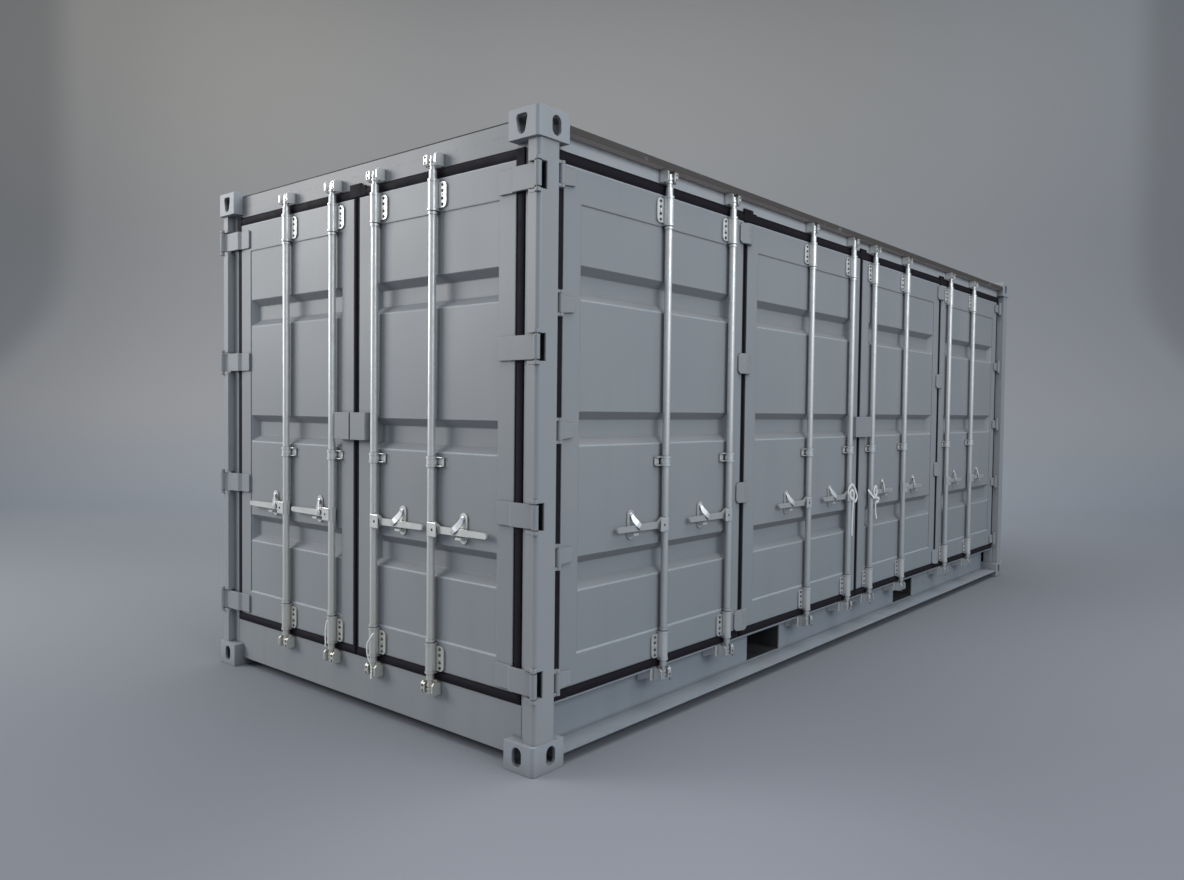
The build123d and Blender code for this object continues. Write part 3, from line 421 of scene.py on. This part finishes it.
def zinc_sockets(tree, place, aged=(0.64, 0.625, 0.545, 1), aged_top=1.5):
    """aged is mixed in full near the ground and gone at the level aged_top: old yellow zinc on the end gear,
    painted shade on the side.
    """
    spangle = add_node(tree, "ShaderNodeTexVoronoi", None, {"Vector": place, "Scale": 95.0}, "Color")
    tone = add_node(tree, "ShaderNodeSeparateColor", None, {0: spangle}, "Red")
    dull = noise(tree, place, 22.0, 5.0).clamp(0.35, 0.75)
    low = 1 - height_of(tree, place).clamp(aged_top - 1.3, aged_top)
    colour = mix_colour(tree, tone * 0.25 + dull * 0.35, (0.86, 0.87, 0.86, 1), (0.62, 0.63, 0.62, 1))
    colour = mix_colour(tree, low * 0.6, colour, aged)
    # Painted shade: crevices on the gear are darkened.
    colour = mix_colour(tree, recess(tree, 0.016) * 0.85, colour, painted_crevice_shade)
    return {
        "Base Color": colour,
        "Metallic": 0.62,
        "Roughness": 0.30 + dull * 0.14 + tone * 0.05,
        "Normal": relief(tree, dull, 0.08, 0.001),
    }


zinc = finish_material("galvanised_zinc", zinc_sockets)
# Lit and shaded copies of the zinc: the side bars' low tint is a painted shade, and the side gear's is a
# lighter one that stands for its highlights.
side_bar_zinc_shaded = finish_material("side_bar_zinc_shaded", zinc_sockets, aged=(0.36, 0.385, 0.405, 1), aged_top=1.9)
side_gear_zinc_lit = finish_material("side_gear_zinc_lit", zinc_sockets, aged=(0.56, 0.58, 0.59, 1), aged_top=1.9)
end_bar_names = [f"end_bar_{number}" for number in range(1, 5)]
side_bar_names = [f"side_bar_{number}" for number in range(1, 9)]
end_gear = ["end_keepers", "door_far_bearings", "door_near_bearings", "door_far_catches", "door_near_catches"]
dress(end_bar_names + end_gear, zinc)
dress(side_bar_names, side_bar_zinc_shaded)
dress(["side_bearings", "side_catches", "side_keepers"], side_gear_zinc_lit)


# Hinge pins: plain turned steel, set upright in the windows of the posts and darkened by
# grease.
def pin_sockets(tree, place):
    grease = noise(tree, place, 30.0, 3.0).clamp(0.4, 0.7)
    colour = mix_colour(tree, grease * 0.7, (0.42, 0.42, 0.42, 1), (0.10, 0.09, 0.08, 1))
    return {"Base Color": colour, "Metallic": 0.85, "Roughness": 0.35 + grease * 0.2}


dress(("hinge_pins",), finish_material("pin_steel", pin_sockets))


# Bolts of the bar brackets: a row of four dark hexagon heads down each flange with a bright
# centre punch between them, two on the bracket's narrow foot, and one beside each guide.
cam_reach = 0.020
bars = []
for name in end_bar_names + side_bar_names:
    low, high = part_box(name)
    face = name.split("_")[0]
    if face == "end":
        body = "door_far" if low[1] > 0 else "door_near"
        ends = (-high[1], -low[1])
    else:
        body = "root"
        ends = (low[0], high[0])
    hand = -1 if ends[0] + ends[1] < 0 else 1
    bars.append((face, body, ends[1] - cam_reach if hand < 0 else ends[0] + cam_reach, hand))
outward = {"end": Vector((-1, 0, 0)), "side": Vector((0, -1, 0))}
carriers = ("root", "door_far", "door_near")


def bars_on(carrier):
    return [(face, place, hand) for face, body, place, hand in bars if body == carrier]


def on_face(face, place, depth, level):
    """A point on a door face: place runs to the right seen from outside, depth runs inward."""
    if face == "end":
        return Vector((cad_box[0][0] + depth, -place, level))
    return Vector((place, cad_box[0][1] + depth, level))


def add_ring(mesh, centre, axis, radius, sides, turn=0.0):
    across = axis.orthogonal().normalized()
    other = axis.cross(across)
    corners = []
    for number in range(sides):
        angle = turn + 2 * math.pi * number / sides
        offset = (across * math.cos(angle) + other * math.sin(angle)) * radius
        corners.append(mesh.verts.new(centre + offset))
    return corners


def skin(mesh, loops):
    """Faces between each closed loop of corners and the next."""
    for low, high in zip(loops, loops[1:]):
        for number in range(len(low)):
            after = (number + 1) % len(low)
            mesh.faces.new((low[number], low[after], high[after], high[number]))


def add_turned(mesh, place, axis, rings, sides, turn=0.0):
    """A form turned about an axis, open at its back; rings are (radius, distance along the axis)."""
    loops = [add_ring(mesh, place + axis * along, axis, radius, sides, turn) for radius, along in rings]
    skin(mesh, loops)
    mesh.faces.new(loops[-1])


def make_piece(name, mesh, material, body, soften=0.0):
    """Turn a mesh into a piece that rides on a body; soften is the bevel of its sharp edges."""
    data = bpy.data.meshes.new(name)
    mesh.to_mesh(data)
    mesh.free()
    data.materials.append(material)
    piece = bpy.data.objects.new(name, data)
    bpy.context.scene.collection.objects.link(piece)
    if soften:
        bevel = piece.modifiers.new("soften", "BEVEL")
        bevel.width = soften
        bevel.segments = 2
        bevel.limit_method = "ANGLE"
    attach(piece, body)


def add_bolt(mesh, place, axis, size):
    """Washer and chamfered hexagon head."""
    washer = ((size * 1.25, 0), (size * 1.25, size * 0.2), (size, size * 0.26))
    hexagon = ((size, size * 0.2), (size, size * 0.75), (size * 0.8, size * 0.95))
    add_turned(mesh, place, axis, washer, 16)
    add_turned(mesh, place, axis, hexagon, 6, 0.3)


def dark_bolt_sockets(tree, place):
    soot = noise(tree, place, 60.0, 3.0).clamp(0.35, 0.7)
    colour = mix_colour(tree, soot, (0.16, 0.155, 0.15, 1), (0.045, 0.04, 0.038, 1))
    return {"Base Color": colour, "Metallic": 0.6, "Roughness": 0.45 + soot * 0.2}


dark_bolt = finish_material("dark_bolt", dark_bolt_sockets)
bracket_levels = (0.350, 2.340)
bracket_front = 0.038
flange_step, flange_rises = 0.047, (-0.041, -0.016, 0.016, 0.041)
foot_step, foot_rises = 0.0305, (-0.036, 0.036)
guide_step, guide_front, guide_level = 0.0255, 0.041, 1.202
flange_bolt, foot_bolt, guide_bolt = 0.0055, 0.0048, 0.0045
centre_punch = ((0.005, 0), (0.0045, 0.0025), (0.002, 0.004))
flange_hand = {"end": 1, "side": -1}
body_zinc = {"root": side_gear_zinc_lit, "door_far": zinc, "door_near": zinc}
for body in carriers:
    heads = bmesh.new()
    marks = bmesh.new()
    for face, place, _ in bars_on(body):
        axis = outward[face]
        flange_place = place + flange_hand[face] * flange_step
        foot_place = place - flange_hand[face] * foot_step
        guide_place = place - flange_hand[face] * guide_step
        for level in bracket_levels:
            for rise in flange_rises:
                add_bolt(heads, on_face(face, flange_place, bracket_front, level + rise), axis, flange_bolt)
            add_turned(marks, on_face(face, flange_place, bracket_front, level), axis, centre_punch, 12)
            for rise in foot_rises:
                add_bolt(heads, on_face(face, foot_place, bracket_front, level + rise), axis, foot_bolt)
        add_bolt(heads, on_face(face, guide_place, guide_front, guide_level), axis, guide_bolt)
    make_piece(f"{body}_bracket_bolts", heads, dark_bolt, body)
    make_piece(f"{body}_bracket_marks", marks, body_zinc[body], body)


# Guide lugs: a short pressed channel welded to the leaf beside each guide, with a lip along its
# top and bottom.
def add_block(mesh, face, left, right, front, back, low, high):
    """Block on a door face, between two places, two depths and two levels."""
    corners = [
        mesh.verts.new(on_face(face, place, depth, level))
        for level in (low, high)
        for place, depth in ((left, back), (right, back), (right, front), (left, front))
    ]
    for indices in ((0, 3, 2, 1), (4, 5, 6, 7), (0, 1, 5, 4), (1, 2, 6, 5), (2, 3, 7, 6), (3, 0, 4, 7)):
        mesh.faces.new([corners[index] for index in indices])


lug_steps = (0.018, 0.062)
lug_front, lug_back = 0.041, 0.0458
lug_low, lug_high = 1.183, 1.221
lip_front, lip_back = 0.029, 0.0455
lip_lows, lip_height = (1.1815, 1.2185), 0.004
for body in carriers:
    lugs = bmesh.new()
    for face, place, _ in bars_on(body):
        left, right = sorted(place + flange_hand[face] * step for step in lug_steps)
        add_block(lugs, face, left, right, lug_front, lug_back, lug_low, lug_high)
        for low in lip_lows:
            add_block(lugs, face, left, right, lip_front, lip_back, low, low + lip_height)
    bmesh.ops.recalc_face_normals(lugs, faces=lugs.faces)
    make_piece(f"{body}_guide_lugs", lugs, body_zinc[body], body, 0.0012)


# Hub plates: a pressed square cover riveted over the root of each handle, on the bar's front.
# The covers and their rivets ride with the door or frame that carries the bar.
handle_level = 0.912
hub_front, hub_back = 0.0035, 0.0095
hub_half_height = 0.031
hub_start, hub_reach, hub_rivet_step = 0.002, 0.055, 0.030
hub_head = ((0.0062, 0), (0.0058, 0.0012), (0.003, 0.0024))
for face, body, place, hand in bars:
    hub = bmesh.new()
    left, right = sorted((place - hand * hub_start, place + hand * hub_reach))
    low, high = handle_level - hub_half_height, handle_level + hub_half_height
    add_block(hub, face, left, right, hub_front, hub_back, low, high)
    bmesh.ops.recalc_face_normals(hub, faces=hub.faces)
    make_piece(f"{body}_hub_plate", hub, body_zinc[body], body, 0.0022)
    rivet = bmesh.new()
    centre = on_face(face, place + hand * hub_rivet_step, hub_front, handle_level)
    add_turned(rivet, centre, outward[face], hub_head, 16)
    make_piece(f"{body}_hub_rivet", rivet, dark_bolt, body)

# Keeper rivets: two dark domed heads on the lip of each cam keeper, one above the other, that
# fix the keeper's lip to the header or the sill.
keeper_inset = 0.027
keeper_step = 0.0275
keeper_front = 0.004
keeper_rises = (-0.011, 0.011)
keeper_head = ((0.0062, 0), (0.0055, 0.0014), (0.0025, 0.0026))
keeper_rivets = bmesh.new()
for face, _, place, hand in bars:
    low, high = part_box(f"{face}_keepers")
    for level in (low[2] + keeper_inset, high[2] - keeper_inset):
        for rise in keeper_rises:
            centre = on_face(face, place - hand * keeper_step, keeper_front, level + rise)
            add_turned(keeper_rivets, centre, outward[face], keeper_head, 14)
make_piece("keeper_rivets", keeper_rivets, dark_bolt, "root")


# Hasps: a bright bent strip of zinc-plated steel, hooked in each catch's upper hole by a round
# knob and laid down across the handle.
def add_ribbon(mesh, points, side, widths, thickness):
    """Strip along points: its widths lie along side, its thickness at right angles to that."""
    loops = []
    for index, point in enumerate(points):
        before = points[max(index - 1, 0)]
        after = points[min(index + 1, len(points) - 1)]
        normal = (after - before).normalized().cross(side).normalized()
        half = side * widths[index] / 2
        lift = normal * thickness / 2
        loops.append([mesh.verts.new(point + half + lift), mesh.verts.new(point - half + lift)])
        loops[-1] += [mesh.verts.new(point - half - lift), mesh.verts.new(point + half - lift)]
    skin(mesh, loops)
    mesh.faces.new(loops[0])
    mesh.faces.new(loops[-1])


def bright_sockets(tree, place):
    rub = noise(tree, place, 70.0, 4.0, (1, 1, 0.2)).clamp(0.4, 0.75)
    colour = mix_colour(tree, rub * 0.5, (0.74, 0.76, 0.78, 1), (0.50, 0.51, 0.52, 1))
    # Painted shade: crevices round the hasps are darkened.
    colour = mix_colour(tree, recess(tree, 0.012) * 0.8, colour, painted_crevice_shade)
    return {"Base Color": colour, "Metallic": 0.7, "Roughness": 0.30 + rub * 0.2}


bright_zinc = finish_material("bright_zinc", bright_sockets)
catch_offset = {"root": 0.232, "door_far": 0.132, "door_near": 0.188}
rightward = {"end": Vector((0, -1, 0)), "side": Vector((1, 0, 0))}
upward = Vector((0, 0, 1))
hasp_thickness = 0.0038
knob_depth, knob_level = 0.0432, 0.971
hasp_knob = ((0.0105, 0), (0.0105, 0.003), (0.008, 0.0055), (0.003, 0.007))
hasp_stations = (  # step from the catch, depth, level, width
    (0.000, 0.0395, 0.972, 0.015),
    (0.001, 0.0335, 0.961, 0.022),
    (0.007, 0.0260, 0.946, 0.027),
    (0.017, 0.0180, 0.932, 0.029),
    (0.028, 0.0130, 0.921, 0.027),
    (0.038, 0.0130, 0.911, 0.022),
    (0.043, 0.0155, 0.905, 0.013),
)
hasp_widths = [width for *_, width in hasp_stations]
for body in carriers:
    hasps = bmesh.new()
    for face, place, hand in bars_on(body):
        catch = place + hand * catch_offset[body]
        points = [on_face(face, catch - hand * step, depth, level) for step, depth, level, _ in hasp_stations]
        slant = (upward * -0.6 + rightward[face] * hand * -0.5).normalized()
        across = slant.cross(outward[face]).normalized()
        add_ribbon(hasps, points, across, hasp_widths, hasp_thickness)
        add_turned(hasps, on_face(face, catch, knob_depth, knob_level), outward[face], hasp_knob, 18)
    bmesh.ops.recalc_face_normals(hasps, faces=hasps.faces)
    make_piece(f"{body}_hasps", hasps, bright_zinc, body, 0.0009)


# Seal lips: each leaf's rubber bulges out of the gap in one rounded lip, and thick moulded
# corner pieces join the strips where two gaps meet.
lip_section = (  # place across the lip from -1 to 1, depth
    (-1.0, 0.0512),
    (-0.8, 0.0485),
    (-0.4, 0.0466),
    (0.0, 0.0460),
    (0.4, 0.0466),
    (0.8, 0.0485),
    (1.0, 0.0512),
)


def add_lip(mesh, face, edges, gaps, halves):
    """Rounded lip round a leaf; edges, gaps and halves are for left, right, low and high."""
    rows = []
    for offset, depth in lip_section:
        sides = zip(edges, (-1, 1, -1, 1), gaps, halves)
        left, right, low, high = (edge + side * (gap + offset * half) for edge, side, gap, half in sides)
        corners = ((left, low), (right, low), (right, high), (left, high))
        rows.append([mesh.verts.new(on_face(face, place, depth, level)) for place, level in corners])
    skin(mesh, rows)


def leaf_span(name, face):
    low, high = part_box(name)
    if face == "end":
        return -high[1], -low[1], low[2], high[2]
    return low[0], high[0], low[2], high[2]


post_gap, post_half = 0.0235, 0.0185
meeting_gap, meeting_half = 0.009, 0.0075
rail_gap, rail_half = 0.0240, 0.0185
corner_front, upper_corner_front, corner_back = 0.0442, 0.0447, 0.0508
for body, face, leaves in (
    ("door_far", "end", ("door_far",)),
    ("door_near", "end", ("door_near",)),
    ("root", "side", side_leaves),
):
    lips = bmesh.new()
    for leaf in leaves:
        left, right, low, high = leaf_span(leaf, face)
        outer_left = leaf in ("door_far", "side_leaf_1")
        outer_right = leaf in ("door_near", "side_leaf_4")
        gaps = [post_gap if outer else meeting_gap for outer in (outer_left, outer_right)]
        halves = [post_half if outer else meeting_half for outer in (outer_left, outer_right)]
        gaps += [rail_gap, rail_gap]
        halves += [rail_half, rail_half]
        add_lip(lips, face, (left, right, low, high), gaps, halves)
        blocks = []
        if outer_right:
            blocks.append((right + 0.002, right + 0.046, corner_front, high - 0.062, high + 0.044))
        else:
            start = right - 0.034 if face == "end" else right + 0.004
            blocks.append((start, start + 0.090, corner_front, high + 0.006, high + 0.068))
            blocks.append((start + 0.004, start + 0.125, upper_corner_front, high + 0.008, high + 0.054))
        if outer_left:
            blocks.append((left - 0.046, left - 0.002, corner_front, high - 0.050, high + 0.050))
        for block_left, block_right, front, block_low, block_high in blocks:
            add_block(lips, face, block_left, block_right, front, corner_back, block_low, block_high)
    bmesh.ops.recalc_face_normals(lips, faces=lips.faces)
    make_piece(f"{body}_seal_lips", lips, seal_rubber, body, 0.002)


# Weld beads: hand-laid fillets where the fittings, posts, headers and sills meet, ground flat in
# places and painted over.
bead_seed = random.Random(7)
bead_pitch = 0.007
fitting_bead, post_bead, sill_bead = 0.0024, 0.0026, 0.0028
fitting_length = 0.178


def add_bead(mesh, start, end, radius):
    axis = (end - start).normalized()
    count = max(3, int((end - start).length / bead_pitch))
    loops = []
    for step in range(count + 1):
        swell = radius * (0.8 + 0.35 * bead_seed.random())
        swell *= 0.45 if step in (0, count) else 1.0
        loops.append(add_ring(mesh, start.lerp(end, step / count), axis, swell, 8))
    skin(mesh, loops)
    mesh.faces.new(list(reversed(loops[0])))
    mesh.faces.new(loops[-1])


beads = bmesh.new()
far_x, far_y = cad_box[1][0], cad_box[1][1]
for end in (-1, 1):
    for side in (-1, 1):
        x = far_x * end
        y = far_y * side
        for level in (0.1185, 2.4725):
            for (x_in, y_in), (x_reach, y_reach) in (
                ((0.0165, 0.028), (0.0165, 0.112)),
                ((0.036, 0.0085), (0.145, 0.0085)),
            ):
                start = Vector((x - end * x_in, y - side * y_in, level))
                add_bead(beads, start, Vector((x - end * x_reach, y - side * y_reach, level)), fitting_bead)
for side in (-1, 1):
    x = -far_x + 0.0545
    y = far_y * side - side * 0.1175
    for low, high in ((0.122, 0.246), (2.462, 2.470)):
        add_bead(beads, Vector((x, y, low)), Vector((x, y, high)), post_bead)
for end in (-1, 1):
    x = far_x * end - end * fitting_length
    lip, inner, web = -far_y + 0.0095, -far_y + 0.12, -far_y + 0.056
    add_bead(beads, Vector((x, lip, 0.0545)), Vector((x, inner, 0.0545)), sill_bead)
    add_bead(beads, Vector((x, web, 0.125)), Vector((x, web, 0.243)), sill_bead)
make_piece("weld_beads", beads, frame_paint, "root")


# Seal straps: four white plastic strap seals, two round the feet of the middle end bars and two
# knotted round the hubs of the middle side bars, with their tails hanging.
def strap_sockets(tree, place):
    grime = noise(tree, place, 55.0, 3.0).clamp(0.4, 0.8)
    colour = mix_colour(tree, grime * 0.5, (0.82, 0.82, 0.80, 1), (0.56, 0.55, 0.52, 1))
    return {"Base Color": colour, "Roughness": 0.42 + grime * 0.2, "Subsurface Weight": 0.1}


white_plastic = finish_material("white_plastic", strap_sockets)


def smooth_route(points, count):
    """Points along a Catmull-Rom curve through the given ones."""
    padded = [points[0] * 2 - points[1], *points, points[-1] * 2 - points[-2]]
    route = []
    for index in range(1, len(padded) - 2):
        before, start, end, after = padded[index - 1 : index + 3]
        for step in range(count):
            t = step / count
            doubled = start * 2 + (end - before) * t
            doubled += (before * 2 - start * 5 + end * 4 - after) * t**2
            doubled += (start * 3 - before - end * 3 + after) * t**3
            route.append(doubled * 0.5)
    route.append(points[-1])
    return route


strap_thickness = 0.0036
end_strap_width, side_strap_width = 0.0075, 0.0155
points_a_run = 6
end_far_route = (  # step from the bar, depth, level
    (0.018, 0.012, 0.405),
    (-0.008, 0.0035, 0.392),
    (-0.026, 0.006, 0.340),
    (-0.028, 0.008, 0.285),
    (-0.034, 0.010, 0.262),
)
end_near_route = (
    (0.020, 0.012, 0.395),
    (0.008, 0.0035, 0.372),
    (-0.022, 0.006, 0.335),
    (-0.022, 0.008, 0.285),
    (0.004, 0.010, 0.235),
    (0.008, 0.006, 0.180),
)
side_left_route = (
    (-0.055, 0.0040, 0.930),
    (-0.045, 0.0026, 0.965),
    (0.000, 0.0026, 0.985),
    (0.050, 0.007, 0.955),
    (0.092, 0.011, 0.905),
    (0.070, 0.011, 0.875),
    (0.020, 0.0030, 0.890),
    (-0.030, 0.0026, 0.915),
    (-0.010, 0.0026, 0.950),
    (0.025, 0.0026, 0.930),
    (0.024, 0.006, 0.850),
    (0.028, 0.011, 0.750),
    (0.026, 0.011, 0.660),
)
side_right_route = (
    (-0.070, 0.011, 0.935),
    (-0.035, 0.005, 0.905),
    (0.010, 0.0026, 0.880),
    (0.045, 0.0026, 0.900),
    (0.050, 0.0060, 0.945),
    (0.020, 0.0026, 0.950),
    (0.000, 0.0026, 0.915),
    (0.040, 0.0026, 0.880),
    (0.100, 0.010, 0.870),
    (0.085, 0.010, 0.850),
    (0.045, 0.007, 0.845),
    (0.052, 0.011, 0.790),
    (0.070, 0.011, 0.735),
)
bar_places = {name: bar[2] for name, bar in zip(end_bar_names + side_bar_names, bars)}
for body, bar, face, width, route in (
    ("door_far", "end_bar_2", "end", end_strap_width, end_far_route),
    ("door_near", "end_bar_3", "end", end_strap_width, end_near_route),
    ("side_bar_4", "side_bar_4", "side", side_strap_width, side_left_route),
    ("side_bar_5", "side_bar_5", "side", side_strap_width, side_right_route),
):
    place = bar_places[bar]
    corners = [on_face(face, place + step, depth, level) for step, depth, level in route]
    points = smooth_route(corners, points_a_run)
    strap = bmesh.new()
    add_ribbon(strap, points, outward[face], [strap_thickness] * len(points), width)
    bmesh.ops.recalc_face_normals(strap, faces=strap.faces)
    make_piece(f"{body}_seal_straps", strap, white_plastic, body, soften=0.0004)


# Studio: a pale grey sweep of floor and wall, dull paper that curves up behind the box, lit by
# one large soft lamp overhead and two weaker ones beside the door end and the folding side. A
# painted pool of light brightens the floor in front of the box.
def sweep_sockets(tree, place):
    across = axis_of(tree, place, 0)
    along = axis_of(tree, place, 1)
    level = height_of(tree, place)
    cloud = noise(tree, place, 0.12, 2.0).clamp(0.3, 0.7)
    near = mix_colour(tree, cloud, (0.158, 0.170, 0.196, 1), (0.166, 0.178, 0.204, 1))
    # Painted light: a brighter pool on the floor in front of the box.
    painted_light_pool = across.clamp(-2.4, -1.1) * (1 - across.clamp(-0.5, 0.9))
    near = mix_colour(tree, painted_light_pool, near, (0.212, 0.226, 0.256, 1))
    near = mix_colour(tree, along.clamp(-3.6, -0.8), near, (0.183, 0.197, 0.220, 1))
    far = mix_colour(tree, across.clamp(2.0, 9.0), (0.320, 0.346, 0.382, 1), (0.282, 0.312, 0.352, 1))
    ground = mix_colour(tree, along.clamp(1.5, 8.5), near, far)
    high = level.clamp(3.0, 11.0)
    middle = mix_colour(tree, high, (0.335, 0.342, 0.354, 1), (0.470, 0.450, 0.425, 1))
    far_left = mix_colour(tree, high, (0.430, 0.422, 0.422, 1), (0.700, 0.640, 0.560, 1))
    far_right = mix_colour(tree, high, (0.365, 0.372, 0.388, 1), (0.530, 0.530, 0.530, 1))
    wall = mix_colour(tree, across.clamp(-3.0, -9.5), middle, far_left)
    wall = mix_colour(tree, across.clamp(3.0, 9.5), wall, far_right)
    colour = mix_colour(tree, level.clamp(-0.2, 1.6), ground, wall)
    # Darker bands on the wall towards its far left and right.
    spread = (1 - level.clamp(0.6, 3.8)) * 1.35
    left_band = (across + 11.05 + spread).clamp(-0.45, 0.45)
    right_band = (across * -1 + 9.75 + spread).clamp(-0.4, 0.4)
    side_bands = (1 - left_band * right_band) * level.clamp(0.5, 1.6)
    colour = mix_colour(tree, side_bands * 0.4, colour, (0.20, 0.20, 0.205, 1))
    return {"Base Color": colour, "Roughness": 0.85, "Specular IOR Level": 0.2}


sweep_finish = finish_material("studio_sweep", sweep_sockets)
floor_front, floor_back = -14.0, 6.0
curve_radius, curve_steps = 5.0, 12
wall_top = 14.0
half_width = 26
profile = [(floor_front, 0.0), (floor_back, 0.0)]
for step in range(1, curve_steps + 1):
    angle = step / curve_steps * math.pi / 2
    rise = curve_radius - curve_radius * math.cos(angle)
    profile.append((floor_back + curve_radius * math.sin(angle), rise))
profile.append((floor_back + curve_radius, wall_top))
sweep_mesh = bmesh.new()
rows = [
    [sweep_mesh.verts.new((across, along, level)) for along, level in profile]
    for across in (-half_width, half_width)
]
for first in range(len(profile) - 1):
    second = first + 1
    sweep_mesh.faces.new((rows[0][first], rows[1][first], rows[1][second], rows[0][second]))
sweep_data = bpy.data.meshes.new("studio_sweep")
sweep_mesh.to_mesh(sweep_data)
sweep_mesh.free()
for face in sweep_data.polygons:
    face.use_smooth = True
sweep = bpy.data.objects.new("studio_sweep", sweep_data)
sweep_data.materials.append(sweep_finish)
bpy.context.scene.collection.objects.link(sweep)
sweep.matrix_world = Matrix.Rotation(azimuth, 4, "Z") @ Matrix.Translation((0, 0, -0.001))


def soft_lamp(name, place, target, size, power, tint):
    data = bpy.data.lights.new(name, "AREA")
    data.shape = "RECTANGLE"
    data.size, data.size_y = size
    data.energy = power
    data.color = tint
    lamp = bpy.data.objects.new(name, data)
    bpy.context.scene.collection.objects.link(lamp)
    lamp.location = place
    lamp.rotation_euler = (Vector(target) - Vector(place)).to_track_quat("-Z", "Y").to_euler()


soft_lamp("overhead", (-0.8, -0.6, 10.0), (-0.6, -0.5, 0.0), (14.0, 12.0), 1240, (1.0, 0.985, 0.965))
soft_lamp("end_fill", (-8.4, 6.4, 4.4), (-3.0, 0.9, 1.4), (5.0, 4.0), 505, (1.0, 0.97, 0.94))
soft_lamp("side_fill", (-2.2, -10.0, 5.2), (-1.4, -1.2, 2.0), (8.0, 4.0), 385, (0.93, 0.975, 1.0))

world = bpy.data.worlds.new("studio_air")
bpy.context.scene.world = world
world.use_nodes = True
background = world.node_tree.nodes["Background"]
background.inputs["Color"].default_value = (0.80, 0.89, 1.0, 1)
background.inputs["Strength"].default_value = 0.40
